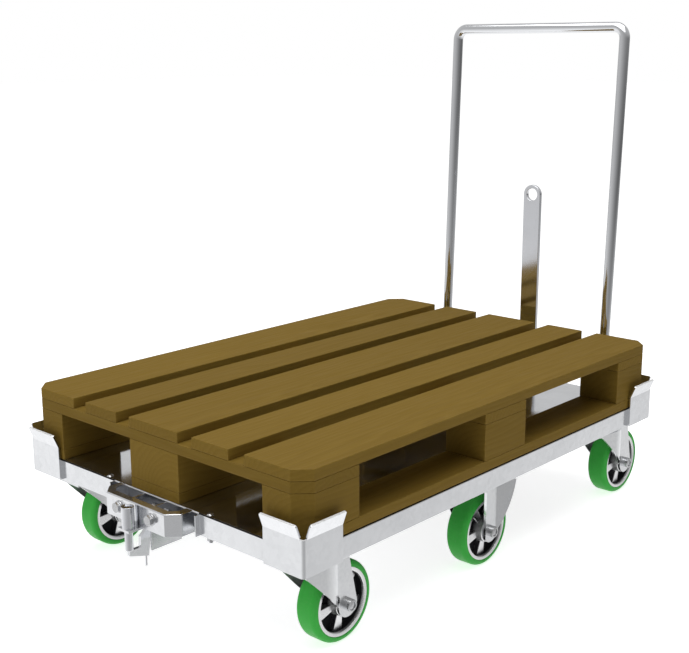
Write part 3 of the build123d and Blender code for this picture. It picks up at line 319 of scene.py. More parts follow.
class Effects:
    """The effects that the dolly's finishes share."""

    CLOUDS = Noise(9.0, 4.0, 0.6)
    STREAKS = Noise(1.0, 3.0, 0.65)
    EDGE_TURN: Pair = (0.995, 0.9)
    CHIPS = Noise(160.0, 3.0, 0.7)
    CHIP_SPAN: Pair = (0.35, 0.6)
    CHIP_LEAST = 0.25
    UPWARD: Pair = (0.3, 0.95)
    PATCHES = Noise(14.0, 5.0, 0.65)
    PATCH_SPAN: Pair = (0.38, 0.68)
    RINGS_TO_A_METRE = 85.0
    RING_RISE: Pair = (0.0, 0.75)
    RING_FALL: Pair = (0.8, 1.0)
    RING_DRIFT = 0.06
    DRIFT_STRETCH: Triple = (2.5, 9.0, 9.0)
    FIBRES = Noise(1.0, 3.0, 0.6)
    FIBRE_STRETCH: Triple = (10.0, 260.0, 260.0)
    SAW_STRETCH: Triple = (420.0, 12.0, 12.0)

    def __init__(self) -> None:
        """Build each effect once."""
        self.rolled = self._rolled()
        self.wear = self._wear()
        self.dust = self._dust()
        self.grain = self._grain()

    def _rolled(self) -> Effect:
        """Marks of rolled and plated sheet: clouds, fine streaks and crystals.

        Returns:
            The effect.
        """
        effect = Effect(
            "rolled_skin",
            {"Place": Effect.VECTOR, "Stretch": Effect.VECTOR, "Crystals": Effect.NUMBER},
            ["Cloud", "Streak", "Crystal"],
        )
        sheet, place = effect.sheet, effect.inputs["Place"]
        cloud = sheet.noise(place, self.CLOUDS)
        streak = sheet.noise(sheet.stretched(place, effect.inputs["Stretch"]), self.STREAKS)
        crystals = sheet.add("ShaderNodeTexVoronoi", feature="F1")
        sheet.feed(crystals.inputs["Vector"], place)
        sheet.feed(crystals.inputs["Scale"], effect.inputs["Crystals"])
        tint = sheet.add("ShaderNodeSeparateColor")
        sheet.feed(tint.inputs[0], crystals.outputs["Color"])
        for label, value in (("Cloud", cloud), ("Streak", streak), ("Crystal", tint.outputs[0])):
            sheet.feed(effect.outputs[label], value)
        return effect

    def _wear(self) -> Effect:
        """Rubbed edges: where the surface turns, broken up by noise.

        Returns:
            The effect.
        """
        effect = Effect("edge_wear", {"Place": Effect.VECTOR, "Radius": Effect.NUMBER}, ["Mask"])
        sheet = effect.sheet
        bent = sheet.add("ShaderNodeBevel", samples=4)
        sheet.feed(bent.inputs["Radius"], effect.inputs["Radius"])
        flat = sheet.add("ShaderNodeNewGeometry").outputs["Normal"]
        turn = sheet.add("ShaderNodeVectorMath", operation="DOT_PRODUCT")
        sheet.feed(turn.inputs[0], bent.outputs["Normal"])
        sheet.feed(turn.inputs[1], flat)
        edge = sheet.remap(turn.outputs["Value"], *self.EDGE_TURN)
        chips = sheet.noise(effect.inputs["Place"], self.CHIPS)
        broken = sheet.remap(chips, *self.CHIP_SPAN, to_low=self.CHIP_LEAST)
        sheet.feed(effect.outputs["Mask"], sheet.math("MULTIPLY", edge, broken))
        return effect

    def _dust(self) -> Effect:
        """Dust that settles on faces that look up.

        Returns:
            The effect.
        """
        effect = Effect("settled_dust", {"Place": Effect.VECTOR, "Amount": Effect.NUMBER}, ["Mask"])
        sheet = effect.sheet
        normal = sheet.add("ShaderNodeSeparateXYZ")
        sheet.feed(normal.inputs[0], sheet.add("ShaderNodeNewGeometry").outputs["Normal"])
        upward = sheet.remap(normal.outputs["Z"], *self.UPWARD)
        patches = sheet.remap(sheet.noise(effect.inputs["Place"], self.PATCHES), *self.PATCH_SPAN)
        lying = sheet.math("MULTIPLY", upward, patches)
        sheet.feed(effect.outputs["Mask"], sheet.math("MULTIPLY", lying, effect.inputs["Amount"]))
        return effect

    def _grain(self) -> Effect:
        """Sawn softwood: year rings round a pith that lies off the board, fibres and saw marks.

        Returns:
            The effect.
        """
        effect = Effect("sawn_grain", {"Place": Effect.VECTOR}, ["Ring", "Fibre", "Saw"])
        sheet, place = effect.sheet, effect.inputs["Place"]
        drift = sheet.noise(sheet.stretched(place, self.DRIFT_STRETCH), Noise())
        parts = sheet.add("ShaderNodeSeparateXYZ")
        sheet.feed(parts.inputs[0], place)
        across = sheet.math("POWER", parts.outputs["Y"], 2.0)
        through = sheet.math("POWER", parts.outputs["Z"], 2.0)
        reach = sheet.math("SQRT", sheet.math("ADD", across, through))
        warped = sheet.math("ADD", reach, sheet.math("MULTIPLY", drift, self.RING_DRIFT))
        wave = sheet.math("FRACT", sheet.math("MULTIPLY", warped, self.RINGS_TO_A_METRE))
        rise, fall = sheet.remap(wave, *self.RING_RISE), sheet.remap(wave, *self.RING_FALL, 1.0, 0.0)
        ring = sheet.math("MULTIPLY", rise, fall)
        fibre = sheet.noise(sheet.stretched(place, self.FIBRE_STRETCH), self.FIBRES)
        saw = sheet.noise(sheet.stretched(place, self.SAW_STRETCH), Noise())
        for label, value in (("Ring", ring), ("Fibre", fibre), ("Saw", saw)):
            sheet.feed(effect.outputs[label], value)
        return effect


def start_material(name: str) -> tuple[bpy.types.Material, NodeSheet, bpy.types.Node]:
    """Start a material that holds one Principled shader.

    Args:
        name: Name of the material.

    Returns:
        The material, its node sheet and its shader node.
    """
    material = bpy.data.materials.new(name)
    material.use_nodes = True
    sheet = NodeSheet(material.node_tree)
    return material, sheet, material.node_tree.nodes["Principled BSDF"]


def add_bump(
    sheet: NodeSheet, shader: bpy.types.Node, height: Socket, strength: float, depth: float
) -> None:
    """Give a shader a fine relief.

    Args:
        sheet: Node sheet of the material.
        shader: Shader that gets the relief.
        height: Height of the relief, from 0 to 1.
        strength: Share of the relief that shows.
        depth: Depth of the relief in metres.
    """
    bump = sheet.add("ShaderNodeBump")
    bump.inputs["Strength"].default_value = strength
    bump.inputs["Distance"].default_value = depth
    sheet.feed(bump.inputs["Height"], height)
    sheet.feed(shader.inputs["Normal"], bump.outputs["Normal"])


@dataclass(frozen=True)
class Mark:
    """Colour that a metal takes on where a vertex attribute is set."""

    attribute: str
    tone: Colour


@dataclass(frozen=True)
class MetalFinish:
    """Plated, polished or chromed steel."""

    label: str
    slot: Slot
    bright: Colour
    dull: Colour
    edge: Colour
    smooth: float
    rough: float
    stretch: Triple = (40.0, 900.0, 900.0)
    crystals: float = 90.0
    crystal_share: float = 0.25
    wear_radius: float = 0.0015
    dust: float = 0.25
    relief: float = 0.12
    relief_depth: float = 0.0002
    marks: tuple[Mark, ...] = ()
    specular: float = 0.1
    mottle_span: Pair = (0.35, 0.95)
    mottle_drag: float = 0.6
    drag_span: Pair = (0.45, 1.2)
    dust_tone: Colour = (0.42, 0.39, 0.34)
    dust_metal: float = 0.2
    dust_rough: float = 0.35
    mark_metal: float = 0.1
    mark_rough: float = 0.6

    def make(self, effects: Effects) -> bpy.types.Material:
        """Build the material.

        Args:
            effects: Shared effects.

        Returns:
            The finished material.
        """
        material, sheet, shader = start_material(self.label)
        place = sheet.add("ShaderNodeTexCoord").outputs["Object"]
        skin = effects.rolled.use(sheet, Place=place, Stretch=self.stretch, Crystals=self.crystals)
        crystals = sheet.math("MULTIPLY", skin["Crystal"], self.crystal_share)
        mottle = sheet.math("ADD", skin["Cloud"], crystals)
        colour = sheet.blend(sheet.remap(mottle, *self.mottle_span), self.bright, self.dull)
        worn = effects.wear.use(sheet, Place=place, Radius=self.wear_radius)["Mask"]
        colour = sheet.blend(worn, colour, self.edge)
        dust = effects.dust.use(sheet, Place=place, Amount=self.dust)["Mask"]
        colour = sheet.blend(dust, colour, self.dust_tone)
        drag = sheet.math("ADD", skin["Streak"], sheet.math("MULTIPLY", mottle, self.mottle_drag))
        rough = sheet.remap(drag, *self.drag_span, self.smooth, self.rough)
        metal = sheet.remap(dust, 0.0, 1.0, 1.0, self.dust_metal)
        # Each mark lays its tone where its attribute is set; these are painted shade, a painted highlight
        # and the seals' own dark colour.
        for colour_mark in self.marks:
            marked = sheet.add("ShaderNodeAttribute", attribute_name=colour_mark.attribute).outputs["Fac"]
            colour = sheet.blend(marked, colour, colour_mark.tone)
            rough = sheet.math("MAXIMUM", rough, sheet.math("MULTIPLY", marked, self.mark_rough))
            metal = sheet.math("MULTIPLY", metal, sheet.remap(marked, 0.0, 1.0, 1.0, self.mark_metal))
        sheet.feed(shader.inputs["Base Color"], colour)
        rough = sheet.math("ADD", rough, sheet.math("MULTIPLY", dust, self.dust_rough))
        sheet.feed(shader.inputs["Roughness"], rough)
        sheet.feed(shader.inputs["Metallic"], metal)
        shader.inputs["Specular IOR Level"].default_value = self.specular
        add_bump(sheet, shader, drag, self.relief, self.relief_depth)
        return material


@dataclass(frozen=True)
class TreadFinish:
    """Smooth cast polyurethane with scuffs and floor dust on the running face."""

    label: str
    slot: Slot
    fresh: Colour
    deep: Colour
    scuffed: Colour
    running: str = "running"
    stretch: Triple = (60.0, 60.0, 60.0)
    crystals: float = 700.0
    cloud_span: Pair = (0.35, 0.7)
    scuffs: Noise = Noise(210.0, 4.0, 0.75)
    scuff_span: Pair = (0.52, 0.72)
    scuff_most: float = 0.3
    wear_radius: float = 0.002
    wear_share: float = 0.25
    streak_span: Pair = (0.3, 0.7)
    rough: Pair = (0.36, 0.5)
    specular: float = 0.12
    relief: float = 0.05
    relief_depth: float = 0.0001

    def make(self, effects: Effects) -> bpy.types.Material:
        """Build the material.

        Args:
            effects: Shared effects.

        Returns:
            The finished material.
        """
        material, sheet, shader = start_material(self.label)
        place = sheet.add("ShaderNodeTexCoord").outputs["Object"]
        skin = effects.rolled.use(sheet, Place=place, Stretch=self.stretch, Crystals=self.crystals)
        colour = sheet.blend(sheet.remap(skin["Cloud"], *self.cloud_span), self.fresh, self.deep)
        running = sheet.add("ShaderNodeAttribute", attribute_name=self.running).outputs["Fac"]
        scuff = sheet.remap(sheet.noise(place, self.scuffs), *self.scuff_span, to_high=self.scuff_most)
        scuff = sheet.math("MULTIPLY", scuff, running)
        colour = sheet.blend(scuff, colour, self.scuffed)
        worn = effects.wear.use(sheet, Place=place, Radius=self.wear_radius)["Mask"]
        colour = sheet.blend(sheet.math("MULTIPLY", worn, self.wear_share), colour, self.scuffed)
        sheet.feed(shader.inputs["Base Color"], colour)
        rough = sheet.remap(skin["Streak"], *self.streak_span, *self.rough)
        sheet.feed(shader.inputs["Roughness"], sheet.math("ADD", rough, scuff))
        shader.inputs["Specular IOR Level"].default_value = self.specular
        add_bump(sheet, shader, skin["Crystal"], self.relief, self.relief_depth)
        return material


@dataclass(frozen=True)
class WoodFinish:
    """Sawn pallet softwood, stained brown, with its grain along each board."""

    label: str
    slot: Slot
    early: Colour
    late: Colour
    fibre: Colour
    rubbed: Colour
    place: str = "board_place"
    tone: str = "board_tone"
    ring_share: float = 0.5
    fibre_span: Pair = (0.5, 0.75)
    fibre_share: float = 0.6
    tones: Pair = (0.9, 1.1)
    wear_radius: float = 0.004
    wear_share: float = 0.45
    rough_span: Pair = (0.3, 0.7)
    rough: Pair = (0.62, 0.82)
    specular: float = 0.12
    saw_relief: float = 0.5
    ring_relief: float = 0.3
    relief: float = 0.35
    relief_depth: float = 0.0006

    def make(self, effects: Effects) -> bpy.types.Material:
        """Build the material.

        Args:
            effects: Shared effects.

        Returns:
            The finished material.
        """
        material, sheet, shader = start_material(self.label)
        place = sheet.add("ShaderNodeAttribute", attribute_name=self.place).outputs["Vector"]
        tone = sheet.add("ShaderNodeAttribute", attribute_name=self.tone).outputs["Fac"]
        grain = effects.grain.use(sheet, Place=place)
        colour = sheet.blend(sheet.math("MULTIPLY", grain["Ring"], self.ring_share), self.early, self.late)
        fibres = sheet.remap(grain["Fibre"], *self.fibre_span, to_high=self.fibre_share)
        colour = sheet.blend(fibres, colour, self.fibre)
        shade = sheet.add("ShaderNodeHueSaturation")
        sheet.feed(shade.inputs["Color"], colour)
        sheet.feed(shade.inputs["Value"], sheet.remap(tone, 0.0, 1.0, *self.tones))
        worn = effects.wear.use(sheet, Place=place, Radius=self.wear_radius)["Mask"]
        worn = sheet.math("MULTIPLY", worn, self.wear_share)
        colour = sheet.blend(worn, shade.outputs["Color"], self.rubbed)
        sheet.feed(shader.inputs["Base Color"], colour)
        rough = sheet.remap(grain["Fibre"], *self.rough_span, *self.rough)
        sheet.feed(shader.inputs["Roughness"], rough)
        shader.inputs["Specular IOR Level"].default_value = self.specular
        height = sheet.math("ADD", grain["Fibre"], sheet.math("MULTIPLY", grain["Saw"], self.saw_relief))
        height = sheet.math("ADD", height, sheet.math("MULTIPLY", grain["Ring"], self.ring_relief))
        add_bump(sheet, shader, height, self.relief, self.relief_depth)
        return material


Finish = MetalFinish | TreadFinish | WoodFinish

# Painted shade: near-black laid in the groove beside the deck and on the forks' inner faces.
PAINTED_SHADE = Mark("recess", (0.012, 0.01, 0.008))
# Painted highlight: a pale matte strip on the real sheared edges of the deck's rear and the guide lips'
# tops.
PAINTED_EDGE_HIGHLIGHT = Mark("painted_edge_highlight", (0.8, 0.8, 0.8))
# Painted shade: near-black deep in the wheel cores' pockets.
PAINTED_POCKET_SHADE = Mark("recess", (0.012, 0.012, 0.014))
SEAL = Mark("recess", (0.02, 0.02, 0.022))
ZINC = MetalFinish(
    "bright_zinc", Slot.BRIGHT_ZINC,
    bright=(0.8, 0.81, 0.83), dull=(0.72, 0.73, 0.75), edge=(0.88, 0.89, 0.9), smooth=0.1, rough=0.24,
    relief=0.05, dust=0.12, marks=(PAINTED_SHADE, PAINTED_EDGE_HIGHLIGHT),
)
DECK_ZINC = MetalFinish(
    "polished_deck_zinc", Slot.BRIGHT_ZINC,
    bright=(0.74, 0.75, 0.77), dull=(0.66, 0.67, 0.69), edge=(0.85, 0.86, 0.88), smooth=0.05, rough=0.12,
    crystal_share=0.1, relief=0.02, dust=0.05, marks=(PAINTED_SHADE, PAINTED_EDGE_HIGHLIGHT),
)
# Painted shade: a dark copy of the bright zinc for the cross beams, standing in for the dim space under the
# deck.
SHADE_PAINTED_BEAM = MetalFinish(
    "shade_painted_zinc", Slot.BRIGHT_ZINC,
    bright=(0.24, 0.245, 0.255), dull=(0.16, 0.16, 0.17), edge=(0.42, 0.43, 0.44), smooth=0.22, rough=0.42,
    relief=0.06, dust=0.2,
)
POLISHED = MetalFinish(
    "polished_steel", Slot.POLISHED_STEEL,
    bright=(0.74, 0.75, 0.78), dull=(0.66, 0.67, 0.7), edge=(0.85, 0.86, 0.88), smooth=0.06, rough=0.16,
    stretch=(900.0, 900.0, 30.0), crystal_share=0.05, dust=0.1, relief=0.03,
)
CHROME = MetalFinish(
    "chrome_tube", Slot.CHROME_TUBE,
    bright=(0.72, 0.73, 0.75), dull=(0.68, 0.69, 0.71), edge=(0.8, 0.81, 0.83), smooth=0.04, rough=0.1,
    stretch=(500.0, 500.0, 20.0), crystal_share=0.05, dust=0.1, relief=0.02,
)
FORK = MetalFinish(
    "fork_zinc", Slot.FORK_ZINC,
    bright=(0.8, 0.81, 0.82), dull=(0.71, 0.72, 0.74), edge=(0.88, 0.89, 0.9), smooth=0.12, rough=0.28,
    stretch=(300.0, 300.0, 300.0), crystals=240.0, relief=0.06, dust=0.12, marks=(PAINTED_SHADE,),
)
FASTENER = MetalFinish(
    "fastener_zinc", Slot.FASTENER_ZINC,
    bright=(0.56, 0.57, 0.59), dull=(0.45, 0.45, 0.45), edge=(0.72, 0.72, 0.73), smooth=0.1, rough=0.26,
    stretch=(700.0, 700.0, 700.0), crystals=400.0, wear_radius=0.0008,
)
CAST = MetalFinish(
    "wheel_core", Slot.WHEEL_CORE,
    bright=(0.9, 0.9, 0.91), dull=(0.82, 0.82, 0.83), edge=(0.94, 0.94, 0.95), smooth=0.2, rough=0.38,
    stretch=(600.0, 600.0, 600.0), crystals=500.0, marks=(PAINTED_POCKET_SHADE,),
)
RACE = MetalFinish(
    "bearing_steel", Slot.BEARING_STEEL,
    bright=(0.55, 0.56, 0.58), dull=(0.45, 0.46, 0.48), edge=(0.7, 0.7, 0.7), smooth=0.12, rough=0.28,
    stretch=(700.0, 700.0, 700.0), crystals=300.0, marks=(SEAL,),
)
TREAD = TreadFinish(
    "green_tread", Slot.GREEN_TREAD,
    fresh=(0.06, 0.49, 0.072), deep=(0.05, 0.43, 0.06), scuffed=(0.15, 0.41, 0.15),
)
WOOD = WoodFinish(
    "pallet_wood", Slot.PALLET_WOOD,
    early=(0.2, 0.125, 0.02), late=(0.165, 0.1, 0.014), fibre=(0.175, 0.108, 0.016),
    rubbed=(0.25, 0.165, 0.045),
)
FINISHES: tuple[Finish, ...] = (
    ZINC, DECK_ZINC, SHADE_PAINTED_BEAM, POLISHED, CHROME, FORK, FASTENER, CAST, RACE, TREAD, WOOD,
)


class Workshop:
    """Shapes bmeshes and sets them on the dolly as finished pieces."""

    def __init__(
        self, nodes: dict[str, bpy.types.Object], materials: dict[Finish, bpy.types.Material]
    ) -> None:
        """Keep the CAD nodes and the finishes.

        Args:
            nodes: CAD nodes by name.
            materials: Material of each finish.
        """
        self.nodes = nodes
        self.materials = materials
        self.made: list[bpy.types.Object] = []

    def rounded_copy(self, node: str, width: float, segments: int = 2, sharper: float = 30.0) -> BMesh:
        """Copy a CAD node with its sharp edges rounded.

        Args:
            node: Name of the CAD node.
            width: Width of the rounding.
            segments: Facets across the rounding.
            sharper: Angle in degrees above which an edge is rounded.

        Returns:
            The rounded copy.
        """
        bm = bmesh.new()
        bm.from_mesh(self.nodes[node].data)
        bmesh.ops.remove_doubles(bm, verts=bm.verts, dist=MERGE)
        bmesh.ops.dissolve_limit(bm, angle_limit=FLAT_ANGLE, verts=bm.verts, edges=bm.edges)
        soften(bm, width, segments, sharper)
        return bm

    def place(self, bm: BMesh, name: str, body: str, finish: Finish, *nodes: str, even: bool = True) -> None:
        """Make a bmesh a piece that rides on a body and stands for CAD nodes.

        Args:
            bm: Finished shape, in the dolly's frame.
            name: Name of the piece.
            body: Body that it moves with.
            finish: Finish that it takes.
            *nodes: CAD nodes that it stands for.
            even: Whether large flat faces hold the shading flat.
        """
        mesh = bpy.data.meshes.new(name)
        bm.to_mesh(mesh)
        bm.free()
        mesh.shade_smooth()
        mesh.set_sharp_from_angle(angle=SHARP_ANGLE)
        mesh.materials.append(self.materials[finish])
        piece = bpy.data.objects.new(name, mesh)
        bpy.context.scene.collection.objects.link(piece)
        if even:
            piece.modifiers.new("even_shading", "WEIGHTED_NORMAL").keep_sharp = True
        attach(piece, body)
        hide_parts(*nodes)
        self.made.append(piece)

    def dress(
        self, node: str, name: str, body: str, finish: Finish, width: float, segments: int = 2
    ) -> None:
        """Place a rounded copy of one CAD node.

        Args:
            node: Name of the CAD node.
            name: Name of the piece.
            body: Body that it moves with.
            finish: Finish that it takes.
            width: Width of the rounding.
            segments: Facets across the rounding.
        """
        self.place(self.rounded_copy(node, width, segments), name, body, finish, node)


def whole(bm: BMesh) -> list[Any]:
    """Every vertex, edge and face of a shape."""
    return bm.verts[:] + bm.edges[:] + bm.faces[:]


def only(kind: type, parts: Sequence[Any]) -> list[Any]:
    """Parts of one kind out of what an operator gives back."""
    return [part for part in parts if isinstance(part, kind)]


def moved(bm: BMesh, place: Matrix) -> BMesh:
    """Set a shape at its place on the dolly."""
    bmesh.ops.transform(bm, matrix=place, verts=bm.verts)
    return bm


def mark(bm: BMesh, attribute: str, strength: Callable[[BMVert], float]) -> None:
    """Write a vertex attribute that a finish reads.

    Args:
        bm: Shape that gets the attribute.
        attribute: Name of the attribute.
        strength: Gives the attribute's value at a vertex.
    """
    layer = bm.verts.layers.float.new(attribute)
    for vert in bm.verts:
        vert[layer] = float(strength(vert))


def soften(bm: BMesh, width: float, segments: int = 2, sharper: float = 30.0) -> None:
    """Round the edges of a bmesh that turn sharply.

    Args:
        bm: Shape to round.
        width: Width of the rounding.
        segments: Facets across the rounding.
        sharper: Angle in degrees above which an edge is rounded.
    """
    limit = math.radians(sharper)
    edges = [edge for edge in bm.edges if edge.is_manifold and edge.calc_face_angle(0.0) > limit]
    bmesh.ops.bevel(
        bm, geom=edges, offset=width, offset_type="OFFSET", segments=segments, profile=0.5,
        affect="EDGES", clamp_overlap=True, material=-1,
    )


def cut_along(bm: BMesh, distance: float) -> None:
    """Cut a shape's faces along the dolly, on both sides of its middle.

    Args:
        bm: Shape to cut.
        distance: Distance of both cuts from the middle.
    """
    for side in BOTH_SIDES:
        bmesh.ops.bisect_plane(
            bm, geom=whole(bm), dist=MERGE, plane_co=(0.0, side * distance, 0.0), plane_no=(0.0, 1.0, 0.0)
        )


def join(bm: BMesh, part: BMesh, place: Matrix) -> None:
    """Add a shape to another one and free it.

    Args:
        bm: Shape that grows.
        part: Shape to add.
        place: Matrix from the part's own frame.
    """
    carrier = bpy.data.meshes.new("carrier")
    moved(part, place).to_mesh(carrier)
    part.free()
    bm.from_mesh(carrier)
    bpy.data.meshes.remove(carrier)


def turned(
    profile: Profile, closed: bool = False, steps: int = 64, rounding: dict[int, float] | None = None
) -> BMesh:
    """Turn a profile about its own z axis.

    Args:
        profile: Radius and height of each corner.
        closed: Whether the last corner joins the first, as in a ring.
        steps: Facets round the axis.
        rounding: Radius of the rounding at the corners that have one, by number.

    Returns:
        The turned shape.
    """
    bm = bmesh.new()
    corners = [bm.verts.new((radius, 0.0, height)) for radius, height in profile]
    following = corners[1:] + corners[:1] if closed else corners[1:]
    for first, second in zip(corners, following):
        bm.edges.new((first, second))
    for number, radius in (rounding or {}).items():
        bmesh.ops.bevel(
            bm, geom=[corners[number]], offset=radius, offset_type="OFFSET", segments=TURNED_FACETS,
            profile=0.5, affect="VERTICES", clamp_overlap=True, material=-1,
        )
    bmesh.ops.spin(
        bm, geom=bm.verts[:] + bm.edges[:], cent=(0.0, 0.0, 0.0), axis=(0.0, 0.0, 1.0),
        angle=FULL_TURN, steps=steps, use_merge=True, use_duplicate=False,
    )
    bmesh.ops.remove_doubles(bm, verts=bm.verts, dist=MERGE)
    bmesh.ops.recalc_face_normals(bm, faces=bm.faces)
    return bm


def hex_block(across: float, height: float, both_ends: bool = False) -> BMesh:
    """Hexagon block whose corners are turned off at its top end.

    Args:
        across: Size across the flats.
        height: Height of the block, from z = 0.
        both_ends: Whether the lower end is turned off too.

    Returns:
        The block.
    """
    bm = bmesh.new()
    bmesh.ops.create_circle(bm, cap_ends=True, segments=6, radius=across / math.sqrt(3))
    grown = bmesh.ops.extrude_face_region(bm, geom=bm.faces[:])["geom"]
    bmesh.ops.translate(bm, verts=only(BMVert, grown), vec=(0.0, 0.0, height))
    bmesh.ops.recalc_face_normals(bm, faces=bm.faces)
    ends = ((height, 1.0), (0.0, -1.0)) if both_ends else ((height, 1.0),)
    for step in range(HEX_CUTS):
        angle = FULL_TURN * (step + 0.5) / HEX_CUTS
        outward = Vector((math.cos(angle), math.sin(angle), 0.0))
        for level, upward in ends:
            cut = bmesh.ops.bisect_plane(
                bm, geom=whole(bm), dist=MERGE,
                plane_co=outward * (across * HEX_CUT_SHARE) + Vector((0.0, 0.0, level)),
                plane_no=outward * math.sin(HEX_SLOPE) + Vector((0.0, 0.0, upward * math.cos(HEX_SLOPE))),
                clear_outer=True,
            )["geom_cut"]
            rims = [edge for edge in only(BMEdge, cut) if edge.is_boundary]
            if rims:
                bmesh.ops.holes_fill(bm, edges=rims, sides=0)
    return bm


@dataclass(frozen=True)
class HexScrew:
    """Hex-headed screw with its nut; the head's seat is its own origin and the shank runs along +z."""

    across: float
    head: float
    shank: float
    nut: float
    tail: float
    washer: float = 0.0
    washer_thickness: float = 0.0
    point: float = 0.0012

    def add_to(self, bm: BMesh, place: Matrix, grip: float) -> None:
        """Add one screw to a shape.

        Args:
            bm: Shape that grows.
            place: Matrix from the screw's own frame.
            grip: Length between the head's seat and the nut.
        """
        under_head = -self.washer_thickness
        flip = Matrix.Rotation(math.pi, 4, "X")
        join(bm, hex_block(self.across, self.head), place @ Matrix.Translation((0, 0, under_head)) @ flip)
        end = grip + self.nut + self.tail
        radius = self.shank / 2
        point = min(self.point, self.tail / 2)
        shank = [(radius, under_head), (radius, end - point), (radius - point, end), (0.0, end)]
        join(bm, turned(shank, steps=32), place)
        join(bm, hex_block(self.across, self.nut, True), place @ Matrix.Translation((0, 0, grip)))
        if self.washer:
            edge = self.washer_thickness / 4
            outer, inner = self.washer / 2, radius
            ring = [
                (inner, 0.0), (outer, 0.0), (outer, under_head + edge), (outer - edge, under_head),
                (inner, under_head),
            ]
            join(bm, turned(ring, closed=True, steps=48), place)


def islands(bm: BMesh) -> Iterator[list[BMVert]]:
    """Separate solids of a shape.

    Args:
        bm: Shape of one or more solids.

    Yields:
        The vertices of each solid.
    """
    left = set(bm.verts)
    while left:
        found = [left.pop()]
        for vert in found:
            for edge in vert.link_edges:
                other = edge.other_vert(vert)
                if other in left:
                    left.remove(other)
                    found.append(other)
        yield found


@dataclass
class Platform:
    """Deck sheet, edge channels, cross beams and the screws that tie the rear channels."""

    body: str = "platform"
    deck_edge: float = 0.0004
    fold: float = 0.0012
    groove: Pair = (0.3935, 0.3965)
    groove_depth: float = 0.003
    groove_margin: float = 0.0001
    window_half: float = 0.1275
    window_margin: float = 0.001
    edge_highlight_x: float = -0.599
    tie_x: float = -0.5925
    tie_y: float = 0.152
    deck_z: float = 0.24
    rail_z: float = 0.195
    tie_head: float = 0.0035
    tie_head_radius: float = 0.007
    tie_socket: Pair = (0.0022, 0.0018)
    tie_dome: Pair = (0.62, 0.86)
    tie_dome_rounding: float = 0.0015
    tie_rim: float = 0.0005
    tie_point: float = 0.001
    tie_shank: float = 0.004
    tie_across: float = 0.013
    tie_nut: float = 0.0065
    tie_tail: float = 0.004

    def build(self, shop: Workshop) -> None:
        """Build the frame.

        Args:
            shop: Workshop that places the pieces.
        """
        deck = shop.rounded_copy("deck_sheet", self.deck_edge)
        self._paint_groove_shade(deck, self.groove[0])
        self._paint_edge_highlight(deck)
        shop.place(deck, "polished_deck", self.body, DECK_ZINC, "deck_sheet")
        rails = shop.rounded_copy("side_channels", self.fold)
        cut_along(rails, self.groove[1])
        self._paint_groove_shade(rails, 0.0)
        shop.place(rails, "side_rails", self.body, ZINC, "side_channels")
        for node, name, finish in (
            ("front_channel", "front_rail", ZINC),
            ("rear_channels", "rear_rails", ZINC),
            # The cross beams take the dark zinc with painted shade.
            ("castor_beams", "cross_beams", SHADE_PAINTED_BEAM),
        ):
            shop.dress(node, name, self.body, finish, self.fold)
        shop.place(self._tie_screws(), "tie_screws", self.body, FASTENER, "tie_bolts")

    def _paint_edge_highlight(self, deck: BMesh) -> None:
        """Paint a pale highlight on the deck's rear edge where it spans the hitch.

        Args:
            deck: Deck in the dolly's frame.
        """
        for distance in (self.window_half, self.window_half + self.window_margin):
            cut_along(deck, distance)
        reach = self.window_half + self.window_margin / 2
        mark(deck, PAINTED_EDGE_HIGHLIGHT.attribute, lambda vert: vert.co.x < self.edge_highlight_x and abs(vert.co.y) < reach)

    def _paint_groove_shade(self, bm: BMesh, inner: float) -> None:
        """Paint shade into the groove between the deck and a side rail.

        Args:
            bm: Deck or rails.
            inner: Distance from the middle at which the painted shade starts.
        """
        outer = self.groove[1] + self.groove_margin
        floor = self.deck_z - self.groove_depth - self.groove_margin
        mark(bm, PAINTED_SHADE.attribute, lambda vert: inner < abs(vert.co.y) < outer and vert.co.z > floor)

    def _tie_screws(self) -> BMesh:
        """Button-headed screws beside the hitch, with nuts under the channel.

        Returns:
            The screws and nuts.
        """
        bm = bmesh.new()
        end = self.rail_z - self.tie_nut - self.tie_tail - self.deck_z
        socket, depth = self.tie_socket
        dome_radius, dome_height = self.tie_dome
        head = [
            (0.0, self.tie_head - depth), (socket, self.tie_head - depth), (socket, self.tie_head),
            (self.tie_head_radius * dome_radius, self.tie_head * dome_height),
            (self.tie_head_radius, self.tie_rim), (self.tie_head_radius, 0.0), (self.tie_shank, 0.0),
            (self.tie_shank, end + self.tie_point), (self.tie_shank - self.tie_point, end), (0.0, end),
        ]
        for side in BOTH_SIDES:
            place = Matrix.Translation((self.tie_x, side * self.tie_y, self.deck_z))
            join(bm, turned(head, steps=40, rounding={3: self.tie_dome_rounding}), place)
            nut = Matrix.Translation((self.tie_x, side * self.tie_y, self.rail_z - self.tie_nut))
            join(bm, hex_block(self.tie_across, self.tie_nut, True), nut)
        return bm


@dataclass
class CornerGuides:
    """Upright angle plates with flared lips that hold the pallet."""

    body: str = "platform"
    edge: float = 0.0008
    crease: float = 15.0
    upward: float = 0.75

    def build(self, shop: Workshop) -> None:
        """Build the four guides.

        Args:
            shop: Workshop that places the pieces.
        """
        for corner in Corner:
            node = "corner_guide_" + corner.value
            guide = shop.rounded_copy(node, self.edge, sharper=self.crease)
            self._paint_lip_highlight(guide)
            shop.place(guide, "guide_" + corner.value, self.body, ZINC, node)

    def _paint_lip_highlight(self, guide: BMesh) -> None:
        """Paint a pale highlight on the upward faces along the tops of the lips.

        Args:
            guide: Guide in the dolly's frame.
        """
        guide.normal_update()
        mark(guide, PAINTED_EDGE_HIGHLIGHT.attribute, lambda vert: vert.normal.z > self.upward)


